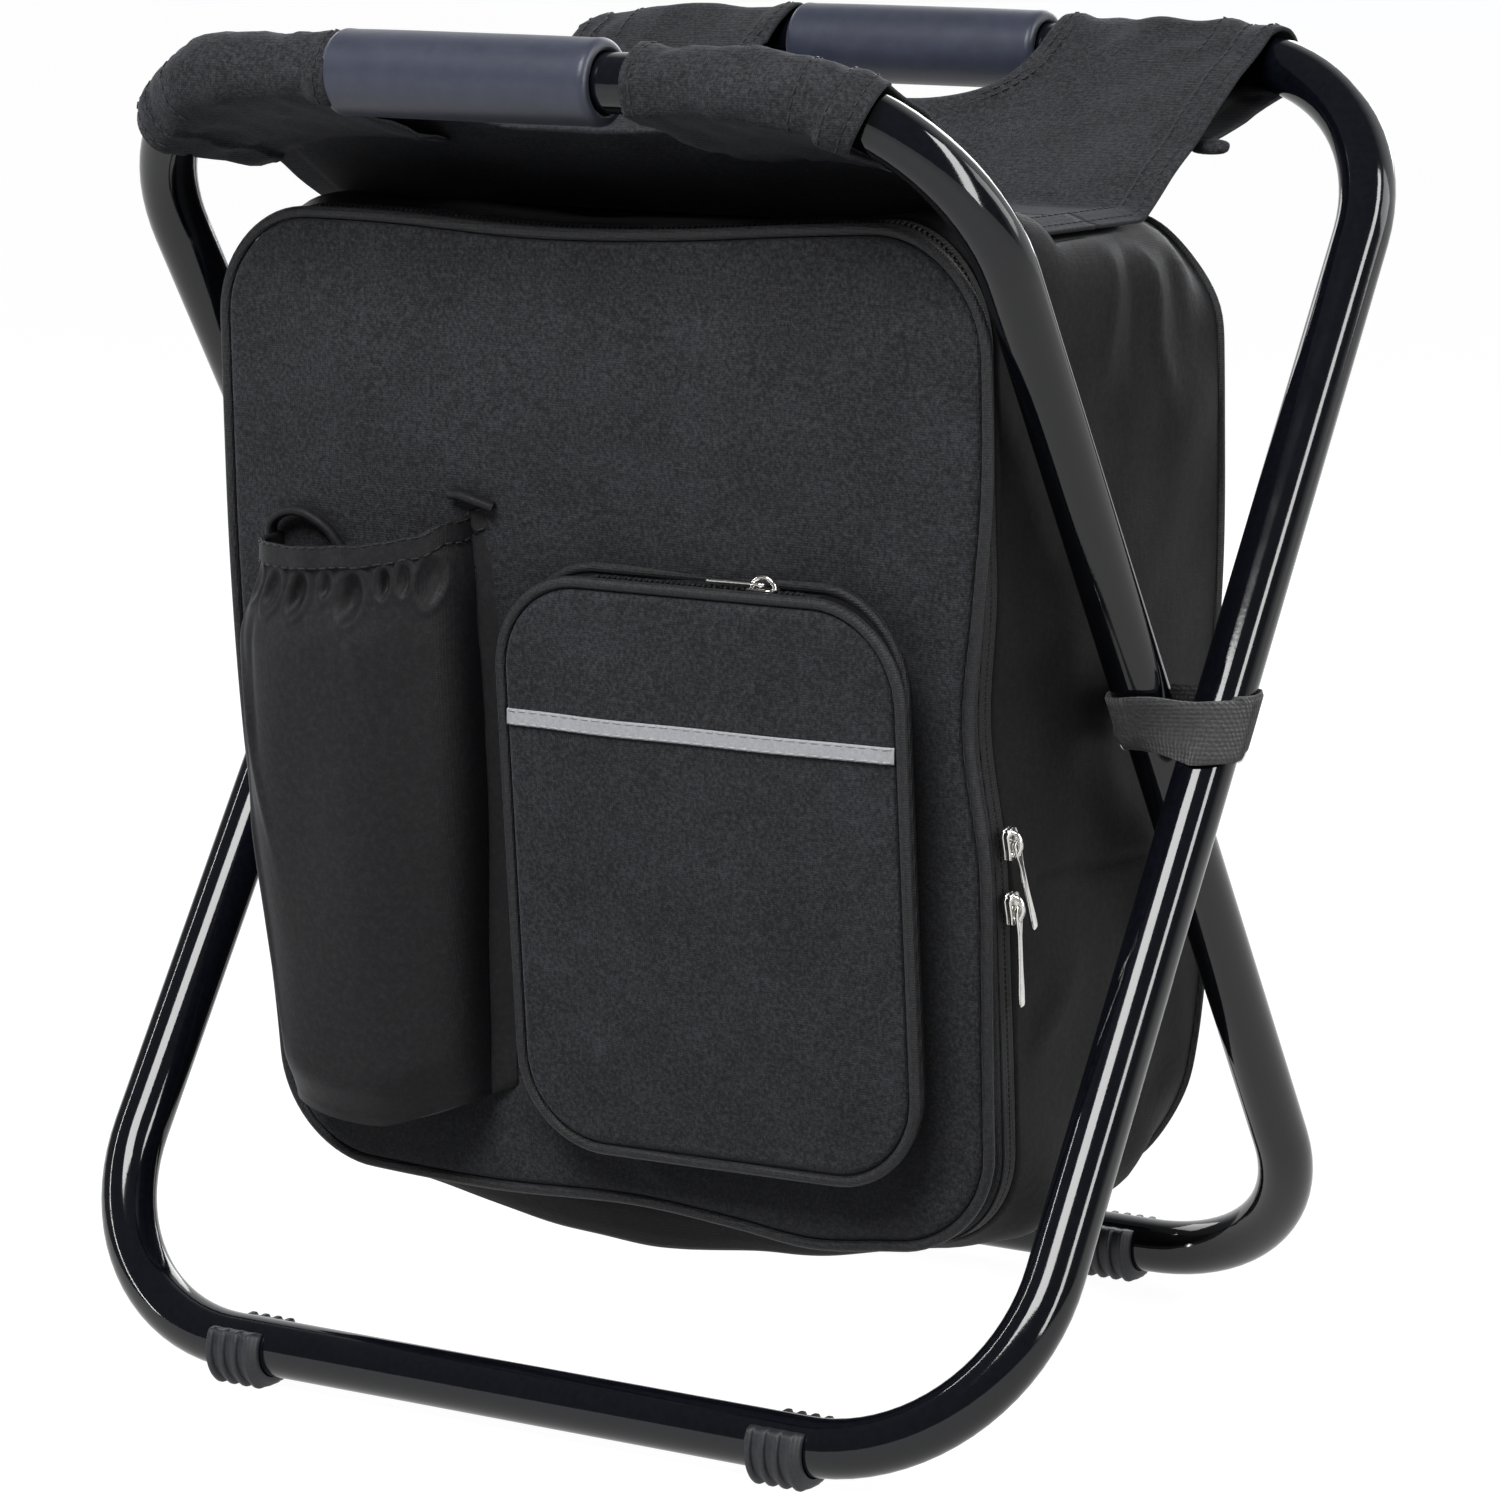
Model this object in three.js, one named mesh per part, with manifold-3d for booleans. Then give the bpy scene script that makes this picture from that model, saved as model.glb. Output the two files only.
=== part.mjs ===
// A folding stool: two crossed tube loops on a common pivot, with an insulated bag hung between them
// and a cloth seat sewn over the bag to the two top bars.
// Millimetres, +Z up, front at -Y. The origin is on the floor below the pivot.
import * as THREE from 'three';
import { mergeVertices } from 'three/addons/utils/BufferGeometryUtils.js';
import Module from 'manifold-3d';

// Frame
const TUBE_D = 18;
const TUBE_WALL = 1.2;
const TUBE_SIDES = 12;
const BAR_RISE = 400; // top bar above bottom bar, between centre lines
const BAR_SPREAD = 262; // front bar to rear bar, between centre lines
const OUTER_WIDTH = 337; // between the leg centre lines of the outer loop
const LEG_GAP = 2; // between the crossing legs
const BEND_R = 64;
const BEND_STEPS = 6;
const BUTT_GAP = 0.4; // each loop is one bent tube, butted under its grip
const JOINER_LENGTH = 60;
const GAP = 0.3; // between pieces that touch
const RUN_GAP = 0.4; // round a tube

// Pivot
const RIVET_D = 6;
const RIVET_HEAD_D = 12;
const RIVET_HEAD_T = 1.6;
const WASHER_D = 15;

// Grips and feet
const GRIP_WALL = 3.5;
const GRIP_LENGTH = 102;
const REAR_GRIP_SHIFT = 1; // from the middle of its cut-out; the front grip has slid to the left of its own
const CLIP_WALL = 3; // under the tube
const CLIP_FLAT_DEPTH = 0.6; // taken off the round to make the sole
const CLIP_RIB = 1;
const CLIP_RIB_WIDTH = 2.6;
const CLIP_RIB_COUNT = 4;
const CLIP_LENGTH = 19;
const CLIP_RIB_SETBACK_DEG = 10;
const CLIP_MOUTH_DEG = 100;
const CLIP_ARC_STEPS = 4;
const FRONT_CLIP_SHIFT = 4; // how far a clip's outer end lies past the start of the bend
const REAR_CLIP_SHIFT = -3;

// Bag
const BAG_LEG_GAP = 2.9; // from the bag's piping to the inner legs
const BAG_LIFT = 45; // above the centre line of the bottom bars
const SEAT_DROP = 48; // from the centre line of the top bars to the bag's top
const BAG_CORNER_R = 32;
const BAG_BACK_Y = 75;
const BAG_FRONT_Y = -66.5; // front plane at the bag's bottom edge
const BAG_LEAN = 0.1; // the front plane comes forward by this share of its height
const CORNER_STEPS = 5;
const CLOTH_T = 1.6;
const FOAM_T = 5;
const LINER_T = 1.2;
const RIM_DEPTH = 9; // side strip of the front panel
const TAPE_W = 3.7; // each half of the main zipper
const PIPING_R = 1.6;
const PIPING_SIDES = 6;

// Bottle pocket and zipped pocket on the front panel
const BOTTLE_INSET = 12; // from the bag's left side
const BOTTLE_WIDTH = 87;
const BOTTLE_DEPTH = 34;
const BOTTLE_RISE = 33; // above the bag's bottom
const BOTTLE_HEIGHT = 172;
const BOTTLE_SQUARENESS = 0.72; // 1 is an ellipse, and 0 a rectangle
const BOTTLE_STEPS = 12;
const BAND_HEIGHT = 7;
const BAND_DEPTH = 28; // the elastic draws the mouth in
const POCKET_GAP = 9; // between the two pockets
const POCKET_INSET = 19; // from the bag's right side
const POCKET_RISE = 24;
const POCKET_HEIGHT = 176.5;
const POCKET_DEPTH = 16;
const POCKET_CORNER_R = 28;
const POCKET_MOUTH_WIDTH = 5;
const POCKET_MOUTH_INSET = 1; // from each end of the zipper tape
const STRIP_RISE = 134.5; // above the pocket's bottom
const STRIP_INSET = 1; // from each side of the pocket
const STRIP_HEIGHT = 6;
const STRIP_T = 0.6;
const POCKET_TAPE_WIDTH = 8.4;
const POCKET_TAPE_T = 0.8;

// Zipper sliders and pulls
const SLIDER_LENGTH = 11;
const SLIDER_WIDTH = 8;
const SLIDER_T = 3;
const SLIDER_RISE = 110; // lower slider above the bag's bottom
const SLIDER_PITCH = 20;
const POCKET_SLIDER_SHIFT = 21; // from the pocket's middle
const PULL_LENGTH = 31;
const POCKET_PULL_LENGTH = 20;
const PULL_WIDTH = 4.5;
const PULL_T = 1;
const PULL_HOLE = 2;
const UPPER_PULL_DEG = 20; // the upper pull hangs aside of the lower slider

// Seat
const SEAT_LEFT_GAP = 2.5; // from the inner legs: the seat has slid to the left on its bars
const SEAT_RIGHT_GAP = 14.5;
const SEAT_FRONT_Y = -36; // the flat middle lies on the bag between these
const SEAT_REAR_Y = 32;
const SLEEVE_T = 1.3;
const TAIL_LENGTH = 25; // seam allowance of each sleeve, lapped on the seat
const LAP = 3;
const NOTCH_SHIFT = -3; // from the seat's middle
const NOTCH_SLACK = 8; // the cut-out round each grip is longer than the grip by this
const NOTCH_DEPTH = 50;
const NOTCH_CORNER_R = 30;
const CORNER_RELIEF = 1.5; // the seat's corners are cut back by this share of the bend's drop
const FRONT_SLEEVE_STEPS = 3; // bend steps of the tube that a sleeve covers
const REAR_SLEEVE_STEPS = 2;

// Webbing
const STRAP_T = 1.5;
const STRAP_HEIGHT = 20;
const STRAP_LIFT = 5; // middle of the webbing above the pivot
const SHOULDER_WIDTH = 52;
const SHOULDER_T = 8;
const SHOULDER_TOP_INSET = 85; // from the bag's side to the middle of a pad
const SHOULDER_LOW_INSET = 59;
const SHOULDER_TOP_DROP = 18; // below the bag's top
const SHOULDER_LOW_RISE = 109; // above the bag's bottom
const WEB_WIDTH = 25;
const WEB_T = 1.6;
const WEB_LOW_INSET = 35;
const WEB_LOW_RISE = 17;
const BUCKLE_WIDTH = 33;
const BUCKLE_HEIGHT = 26;
const BUCKLE_T = 4;
const BUCKLE_SLOT = 5;
const BUCKLE_SLOT_PITCH = 10.4;

// Worked out from the sizes above
const TUBE_R = TUBE_D / 2;
const FACET = Math.cos(Math.PI / TUBE_SIDES);
const BORE_R = (TUBE_R + RUN_GAP) / FACET; // a faceted bore that clears the tube
const GRIP_R = BORE_R + GRIP_WALL;
const LOW_Z = TUBE_R + CLIP_WALL;
const HIGH_Z = LOW_Z + BAR_RISE;
const PIVOT_Z = LOW_Z + BAR_RISE / 2;
const BAR_Y = BAR_SPREAD / 2;
const LEG = Math.hypot(BAR_RISE, BAR_SPREAD);
const OUTER_X = OUTER_WIDTH / 2;
const INNER_X = OUTER_X - TUBE_D - LEG_GAP;
const INNER_FACE_X = INNER_X - TUBE_R;
const PIPING_OUT = PIPING_R + RUN_GAP; // from a seam's corner to the middle of its piping
const BAG_X = INNER_FACE_X - BAG_LEG_GAP - PIPING_OUT - PIPING_R;
const BAG_BOTTOM_Z = LOW_Z + BAG_LIFT;
const BAG_TOP_Z = HIGH_Z - SEAT_DROP;
const BOTTLE_X = -BAG_X + BOTTLE_INSET + BOTTLE_WIDTH / 2;
const BOTTLE_BOTTOM_Z = BAG_BOTTOM_Z + BOTTLE_RISE;
const BOTTLE_TOP_Z = BOTTLE_BOTTOM_Z + BOTTLE_HEIGHT;
const POCKET_WIDTH = 2 * BAG_X - BOTTLE_INSET - BOTTLE_WIDTH - POCKET_GAP - POCKET_INSET;
const POCKET_X = BAG_X - POCKET_INSET - POCKET_WIDTH / 2;
const POCKET_BOTTOM_Z = BAG_BOTTOM_Z + POCKET_RISE;
const POCKET_TOP_Z = POCKET_BOTTOM_Z + POCKET_HEIGHT;
const LOWER_SLIDER_Z = BAG_BOTTOM_Z + SLIDER_RISE;
const UPPER_SLIDER_Z = LOWER_SLIDER_Z + SLIDER_PITCH;
const SHOULDER_TOP_X = BAG_X - SHOULDER_TOP_INSET;
const SHOULDER_LOW_X = BAG_X - SHOULDER_LOW_INSET;
const WEB_LOW_X = BAG_X - WEB_LOW_INSET;
const SEAT_LEFT_X = SEAT_LEFT_GAP - INNER_FACE_X;
const SEAT_RIGHT_X = INNER_FACE_X - SEAT_RIGHT_GAP;
const SEAT_X = (SEAT_LEFT_X + SEAT_RIGHT_X) / 2;
const NOTCH_X = SEAT_X + NOTCH_SHIFT;
const SLEEVE_R = BORE_R + SLEEVE_T;
const NOTCH_WIDTH = GRIP_LENGTH + NOTCH_SLACK;
const FRONT_GRIP_X = NOTCH_X - NOTCH_SLACK / 2 + GAP;
const REAR_GRIP_X = NOTCH_X + REAR_GRIP_SHIFT;
const SEAT_TOP_Z = BAG_TOP_Z + GAP + CLOTH_T;
const TAPE_PANEL_Y = RIM_DEPTH + GAP; // distances back from the front plane
const TAPE_BAG_Y = TAPE_PANEL_Y + TAPE_W + GAP;
const SHELL_Y = TAPE_BAG_Y + TAPE_W + GAP;
const PANEL_FOAM_Y = CLOTH_T + GAP;
const PANEL_LINER_Y = PANEL_FOAM_Y + FOAM_T + GAP;
const CUP_Y = PANEL_LINER_Y + LINER_T + GAP;

const wasm = await Module();
wasm.setup();

function paint(color, roughness, metalness = 0) {
  return new THREE.MeshStandardMaterial({ color, roughness, metalness });
}

const LOOK = {
  tube: paint(0x0a0a0c, 0.15, 0.4),
  steel: paint(0xb9bcc2, 0.3, 1),
  foamGrip: paint(0x454a57, 0.55),
  plastic: paint(0x141416, 0.5),
  cloth: paint(0x24252b, 0.9),
  nylon: paint(0x1a1b20, 0.6),
  piping: paint(0x15161a, 0.6),
  zipper: paint(0x121214, 0.7),
  foam: paint(0xd9dce0, 0.9),
  liner: paint(0xc4c8cc, 0.35),
  strip: paint(0xa0a2a8, 0.4),
  webbing: paint(0x16171a, 0.85),
};

const part = new THREE.Group();

function add(parent, name, geometry, material) {
  const mesh = new THREE.Mesh(geometry, material);
  mesh.name = name;
  parent.add(mesh);
  return mesh;
}

// A closed geometry as a solid that can be joined and cut
function solidOf(geometry) {
  const bare = geometry.index ? geometry.toNonIndexed() : geometry.clone();
  for (const name of Object.keys(bare.attributes)) {
    if (name !== 'position') bare.deleteAttribute(name);
  }
  const merged = mergeVertices(bare, 1e-4);
  return new wasm.Manifold(new wasm.Mesh({
    numProp: 3,
    vertProperties: new Float32Array(merged.attributes.position.array),
    triVerts: new Uint32Array(merged.index.array),
  }));
}

function geometryOf(solid) {
  const mesh = solid.getMesh();
  const geometry = new THREE.BufferGeometry();
  geometry.setAttribute('position', new THREE.BufferAttribute(new Float32Array(mesh.vertProperties), 3));
  geometry.setIndex(new THREE.BufferAttribute(new Uint32Array(mesh.triVerts), 1));
  geometry.computeVertexNormals();
  return geometry;
}

const cut = (geometry, ...cutters) => geometryOf(
  cutters.reduce((solid, cutter) => solid.subtract(solidOf(cutter)), solidOf(geometry)));
const join = (first, ...others) => geometryOf(
  others.reduce((solid, other) => solid.add(solidOf(other)), solidOf(first)));

function box(width, depth, height, x, y, z) {
  return new THREE.BoxGeometry(width, depth, height).translate(x, y, z);
}

// A round bar along X between two ends
function barX(radius, fromX, toX, y, z) {
  return new THREE.CylinderGeometry(radius, radius, toX - fromX, TUBE_SIDES)
    .rotateZ(Math.PI / 2).translate((fromX + toX) / 2, y, z);
}

function polygon(radius, sides) {
  const points = [];
  for (let i = 0; i < sides; i += 1) {
    const angle = (2 * Math.PI * (i + 0.5)) / sides;
    points.push(new THREE.Vector2(radius * Math.cos(angle), radius * Math.sin(angle)));
  }
  return points;
}

function ringShape(outer, inner, sides) {
  const shape = new THREE.Shape(polygon(outer, sides));
  shape.holes.push(new THREE.Path(polygon(inner, sides)));
  return shape;
}

// A path through chosen stations, each with its own direction, so that straight runs need no rings
class StationPath extends THREE.Curve {
  constructor(stations) {
    super();
    this.stations = stations;
  }

  getUtoTmapping(u) {
    return u;
  }

  getPoint(t, target = new THREE.Vector3()) {
    const last = this.stations.length - 1;
    const i = Math.min(Math.floor(t * last + 1e-9), last - 1);
    return target.lerpVectors(this.stations[i].point, this.stations[i + 1].point, t * last - i);
  }

  getTangent(t, target = new THREE.Vector3()) {
    return target.copy(this.stations[Math.round(t * (this.stations.length - 1))].direction);
  }
}

function sweep(shape, stations) {
  return new THREE.ExtrudeGeometry(shape, {
    steps: stations.length - 1,
    extrudePath: new StationPath(stations),
    curveSegments: 1,
  });
}

// Tube loops. Each lies in a plane: x across it, s down the leg from the top bar.
// side is -1 for the loop whose top bar is in front and +1 for the one whose top bar is behind.
function loopStation(side, x, s, dx, ds) {
  const down = new THREE.Vector3(0, (-side * BAR_SPREAD) / LEG, -BAR_RISE / LEG);
  const point = new THREE.Vector3(x, side * BAR_Y, HIGH_Z).addScaledVector(down, s);
  return { point, direction: new THREE.Vector3(dx, 0, 0).addScaledVector(down, ds).normalize() };
}

function loopStations(side, halfWidth, buttX) {
  const stations = [loopStation(side, buttX + BUTT_GAP / 2, 0, 1, 0)];
  const near = halfWidth - BEND_R;
  const far = LEG - BEND_R;
  const corners = [[near, BEND_R, -90], [near, far, 0], [-near, far, 90], [-near, BEND_R, 180]];
  for (const [x, s, from] of corners) {
    for (let i = 0; i <= BEND_STEPS; i += 1) {
      const angle = THREE.MathUtils.degToRad(from + (90 * i) / BEND_STEPS);
      stations.push(loopStation(side, x + BEND_R * Math.cos(angle), s + BEND_R * Math.sin(angle),
        -Math.sin(angle), Math.cos(angle)));
    }
  }
  stations.push(loopStation(side, buttX - BUTT_GAP / 2, 0, 1, 0));
  return stations;
}

// How far the top bend has dropped down the leg at a distance from the middle
function bendDrop(halfWidth, x) {
  const past = Math.min(Math.max(Math.abs(x) - (halfWidth - BEND_R), 0), BEND_R);
  return BEND_R - Math.sqrt(BEND_R * BEND_R - past * past);
}

const bodies = {
  inner: new THREE.Group(),
  outer: new THREE.Group(),
  bag: new THREE.Group(),
  panel: new THREE.Group(),
};
part.add(...Object.values(bodies));

function frameLoop(parent, name, side, halfWidth, gripX) {
  const section = ringShape(TUBE_R, TUBE_R - TUBE_WALL, TUBE_SIDES);
  const tube = sweep(section, loopStations(side, halfWidth, gripX));
  const holes = [-halfWidth, halfWidth].map((x) => barX(RIVET_D / 2 + GAP, x - TUBE_D, x + TUBE_D, 0, PIVOT_Z));
  add(parent, `${name}_tube`, cut(tube, ...holes), LOOK.tube);
  const plug = (TUBE_R - TUBE_WALL - RUN_GAP) * FACET;
  const half = JOINER_LENGTH / 2;
  add(parent, `${name}_joiner`, barX(plug, gripX - half, gripX + half, side * BAR_Y, HIGH_Z), LOOK.steel);
}

frameLoop(bodies.inner, 'inner_frame', -1, INNER_X, FRONT_GRIP_X);
frameLoop(bodies.outer, 'outer_frame', 1, OUTER_X, REAR_GRIP_X);

// Rivets through the crossing legs, with a washer between the tubes
for (const [hand, name] of [[-1, 'left'], [1, 'right']]) {
  const inside = INNER_X - TUBE_R - GAP;
  const outside = OUTER_X + TUBE_R + GAP;
  const between = (x) => (hand > 0 ? x : [-x[1], -x[0]]);
  const turned = (radius, x) => barX(radius, ...between(x), 0, PIVOT_Z);
  const rivet = join(turned(RIVET_D / 2, [inside - GAP, outside + GAP]),
    turned(RIVET_HEAD_D / 2, [inside - RIVET_HEAD_T, inside]),
    turned(RIVET_HEAD_D / 2, [outside, outside + RIVET_HEAD_T]));
  add(bodies.outer, `pivot_rivet_${name}`, rivet, LOOK.steel);
  const washer = turned(WASHER_D / 2, [INNER_X + TUBE_R + GAP, OUTER_X - TUBE_R - GAP]);
  add(bodies.outer, `pivot_washer_${name}`,
    cut(washer, turned(RIVET_D / 2 + GAP, [INNER_X, OUTER_X])), LOOK.plastic);
}

// Foam grips
function grip(parent, name, x, y) {
  const tube = new THREE.ExtrudeGeometry(ringShape(GRIP_R, BORE_R, TUBE_SIDES * 2),
    { depth: GRIP_LENGTH, bevelEnabled: false, curveSegments: 1 });
  tube.rotateY(Math.PI / 2).translate(x - GRIP_LENGTH / 2, y, HIGH_Z);
  add(parent, name, tube, LOOK.foamGrip);
}

grip(bodies.inner, 'front_grip', FRONT_GRIP_X, -BAR_Y);
grip(bodies.outer, 'rear_grip', REAR_GRIP_X, BAR_Y);

// Snap-on feet: a ribbed C round the bottom bar, open at the top and flat underneath
function clipShape(outer, inner, mouthDeg) {
  const tip = THREE.MathUtils.degToRad(90 - mouthDeg / 2);
  const base = -Math.asin((TUBE_R + CLIP_WALL) / outer);
  const points = [];
  const arc = (radius, from, to) => {
    for (let i = 0; i <= CLIP_ARC_STEPS; i += 1) {
      const angle = from + ((to - from) * i) / CLIP_ARC_STEPS;
      points.push(new THREE.Vector2(radius * Math.cos(angle), radius * Math.sin(angle)));
    }
  };
  arc(outer, tip, base);
  arc(outer, -Math.PI - base, -Math.PI - tip);
  arc(inner, -Math.PI - tip, -Math.PI / 2);
  points.pop();
  arc(inner, -Math.PI / 2, tip);
  return new THREE.Shape(points.reverse());
}

function footClip(parent, name, x, y) {
  const slice = (shape, length, middle) => new THREE.ExtrudeGeometry(shape,
    { depth: length, bevelEnabled: false, curveSegments: 1 })
    .rotateX(Math.PI / 2).rotateZ(Math.PI / 2).translate(middle - length / 2, y, LOW_Z);
  const body = TUBE_R + CLIP_WALL + CLIP_FLAT_DEPTH;
  const bore = (TUBE_R + RUN_GAP) / Math.cos(Math.PI / (4 * CLIP_ARC_STEPS));
  const rib = clipShape(body + CLIP_RIB, (body + bore) / 2, CLIP_MOUTH_DEG + CLIP_RIB_SETBACK_DEG);
  const pitch = CLIP_LENGTH / CLIP_RIB_COUNT;
  const ribs = [];
  for (let i = 0; i < CLIP_RIB_COUNT; i += 1) {
    ribs.push(slice(rib, CLIP_RIB_WIDTH, x - CLIP_LENGTH / 2 + pitch * (i + 0.5)));
  }
  add(parent, name, join(slice(clipShape(body, bore, CLIP_MOUTH_DEG), CLIP_LENGTH, x), ...ribs), LOOK.plastic);
}

const clipX = (halfWidth, shift) => halfWidth - BEND_R + shift - CLIP_LENGTH / 2;
for (const [hand, name] of [[-1, 'left'], [1, 'right']]) {
  footClip(bodies.outer, `foot_clip_front_${name}`, hand * clipX(OUTER_X, FRONT_CLIP_SHIFT), -BAR_Y);
  footClip(bodies.inner, `foot_clip_rear_${name}`, hand * clipX(INNER_X, REAR_CLIP_SHIFT), BAR_Y);
}

// Bag. Its section across X and Z is a rounded rectangle, and its front plane leans forward.
function roundedRect(halfX, lowZ, highZ, radius, ShapeClass = THREE.Shape) {
  const shape = new ShapeClass();
  const x = halfX - radius;
  const quarter = Math.PI / 2;
  shape.absarc(x, lowZ + radius, radius, -quarter, 0);
  shape.absarc(x, highZ - radius, radius, 0, quarter);
  shape.absarc(-x, highZ - radius, radius, quarter, 2 * quarter);
  shape.absarc(-x, lowZ + radius, radius, 2 * quarter, 3 * quarter);
  shape.closePath();
  return shape;
}

function bagSection(inset, ShapeClass) {
  return roundedRect(BAG_X - inset, BAG_BOTTOM_Z + inset, BAG_TOP_Z - inset, BAG_CORNER_R - inset, ShapeClass);
}

// A slab of a section drawn in x and z, from frontY to backY
function slab(shape, frontY, backY) {
  return new THREE.ExtrudeGeometry(shape, {
    depth: backY - frontY,
    bevelEnabled: false,
    curveSegments: Math.ceil(CORNER_STEPS / 2),
  }).rotateX(Math.PI / 2).translate(0, backY, 0);
}

const frontPlaneY = (z) => BAG_FRONT_Y - BAG_LEAN * (z - BAG_BOTTOM_Z);
const leaning = (geometry) => geometry.translate(0, BAG_FRONT_Y, -BAG_BOTTOM_Z)
  .applyMatrix4(new THREE.Matrix4().makeShear(0, 0, 0, 0, 0, -BAG_LEAN)).translate(0, 0, BAG_BOTTOM_Z);

// Moves the front end of a slab, at y = -1, on to the leaning front plane or a distance behind it
function leanFront(geometry, behind) {
  const position = geometry.attributes.position;
  for (let i = 0; i < position.count; i += 1) {
    if (position.getY(i) < 0) position.setY(i, frontPlaneY(position.getZ(i)) + behind);
  }
  return geometry;
}

function cup(inset, wall, behind, backY) {
  const outer = leanFront(slab(bagSection(inset), -1, backY), behind);
  const inner = leanFront(slab(bagSection(inset + wall), -1, backY - wall), behind - wall);
  return cut(outer, inner);
}

const foamInset = CLOTH_T + RUN_GAP;
const linerInset = foamInset + FOAM_T + RUN_GAP;
add(bodies.bag, 'bag_shell', cup(0, CLOTH_T, SHELL_Y, BAG_BACK_Y), LOOK.nylon);
add(bodies.bag, 'insulation_foam', cup(foamInset, FOAM_T, CUP_Y, BAG_BACK_Y - foamInset), LOOK.foam);
add(bodies.bag, 'cooler_liner', cup(linerInset, LINER_T, CUP_Y, BAG_BACK_Y - linerInset), LOOK.liner);

function bagBand(inset, frontY, backY) {
  const shape = bagSection(inset);
  shape.holes.push(bagSection(inset + CLOTH_T, THREE.Path));
  return leaning(slab(shape, frontY, backY));
}

add(bodies.bag, 'main_zipper_tape_bag', bagBand(0, TAPE_BAG_Y, TAPE_BAG_Y + TAPE_W), LOOK.zipper);
add(bodies.panel, 'main_zipper_tape_panel', bagBand(0, TAPE_PANEL_Y, TAPE_PANEL_Y + TAPE_W), LOOK.zipper);

// Front panel: an outer skin with a rim, foam and liner
add(bodies.panel, 'front_panel_skin', leaning(cut(slab(bagSection(0), 0, RIM_DEPTH),
  slab(bagSection(CLOTH_T), CLOTH_T, RIM_DEPTH + CLOTH_T))), LOOK.cloth);
add(bodies.panel, 'front_panel_foam',
  leaning(slab(bagSection(foamInset), PANEL_FOAM_Y, PANEL_FOAM_Y + FOAM_T)), LOOK.foam);
add(bodies.panel, 'front_panel_liner',
  leaning(slab(bagSection(foamInset), PANEL_LINER_Y, PANEL_LINER_Y + LINER_T)), LOOK.liner);

// Piping: a cord round a rounded rectangle, its ends butted at the bottom
function pipingStations(centreX, halfX, lowZ, highZ, radius, y, slope) {
  const stations = [];
  const lay = (x, z, dx, dz) => {
    stations.push({
      point: new THREE.Vector3(centreX + x, y + slope * (z - BAG_BOTTOM_Z), z),
      direction: new THREE.Vector3(dx, slope * dz, dz).normalize(),
    });
  };
  const x = halfX - radius;
  const low = lowZ + radius;
  const high = highZ - radius;
  lay(BUTT_GAP / 2, lowZ, 1, 0);
  const corners = [[x, low, -90], [x, high, 0], [-x, high, 90], [-x, low, 180]];
  for (const [cornerX, cornerZ, from] of corners) {
    for (let i = 0; i <= CORNER_STEPS; i += 1) {
      const angle = THREE.MathUtils.degToRad(from + (90 * i) / CORNER_STEPS);
      const cosine = Math.cos(angle);
      const sine = Math.sin(angle);
      lay(cornerX + radius * cosine, cornerZ + radius * sine, -sine, cosine);
    }
  }
  lay(-BUTT_GAP / 2, lowZ, 1, 0);
  return stations;
}

// The cord lies in the corner of the seam: outside the section by its radius
function piping(parent, name, [centreX, halfX, lowZ, highZ, radius], y, slope) {
  const stations = pipingStations(centreX, halfX + PIPING_OUT, lowZ - PIPING_OUT, highZ + PIPING_OUT,
    radius + PIPING_OUT, y, slope);
  add(parent, name, sweep(new THREE.Shape(polygon(PIPING_R, PIPING_SIDES)), stations), LOOK.piping);
}

const bagEdge = [0, BAG_X, BAG_BOTTOM_Z, BAG_TOP_Z, BAG_CORNER_R];
piping(bodies.panel, 'front_piping', bagEdge, BAG_FRONT_Y + PIPING_R, -BAG_LEAN);
piping(bodies.bag, 'back_piping', bagEdge, BAG_BACK_Y - PIPING_R, 0);

// Bottle pocket: a bulging wall and floor sewn to the panel, open at the top and the back
function bulge(halfX, depth, lowZ, highZ, backY) {
  const reach = (value) => Math.sign(value) * Math.abs(value) ** BOTTLE_SQUARENESS;
  const points = [];
  for (let i = 0; i <= BOTTLE_STEPS; i += 1) {
    const angle = (Math.PI * i) / BOTTLE_STEPS;
    const y = i % BOTTLE_STEPS ? GAP + depth * reach(Math.sin(angle)) : backY;
    points.push(new THREE.Vector2(BOTTLE_X + halfX * reach(Math.cos(angle)), y));
  }
  return new THREE.ExtrudeGeometry(new THREE.Shape(points), { depth: highZ - lowZ, bevelEnabled: false })
    .rotateX(Math.PI).translate(0, 0, highZ);
}

function pocketWall(depth, lowZ, highZ, floor) {
  const outer = bulge(BOTTLE_WIDTH / 2, depth, lowZ, highZ, GAP);
  const inner = bulge(BOTTLE_WIDTH / 2 - CLOTH_T, depth - CLOTH_T, lowZ + floor, highZ + CLOTH_T, -CLOTH_T);
  return leaning(cut(outer, inner));
}

add(bodies.panel, 'bottle_pocket',
  pocketWall(BOTTLE_DEPTH, BOTTLE_BOTTOM_Z, BOTTLE_TOP_Z, CLOTH_T), LOOK.nylon);
add(bodies.panel, 'bottle_pocket_band',
  pocketWall(BAND_DEPTH, BOTTLE_TOP_Z + GAP, BOTTLE_TOP_Z + GAP + BAND_HEIGHT, -CLOTH_T), LOOK.nylon);

// Zipped pocket: a shallow box sewn to the panel, with a slot under its zipper
function pocketSection(inset) {
  const halfX = POCKET_WIDTH / 2 - inset;
  return roundedRect(halfX, POCKET_BOTTOM_Z + inset, POCKET_TOP_Z - inset, POCKET_CORNER_R - inset);
}

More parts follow.
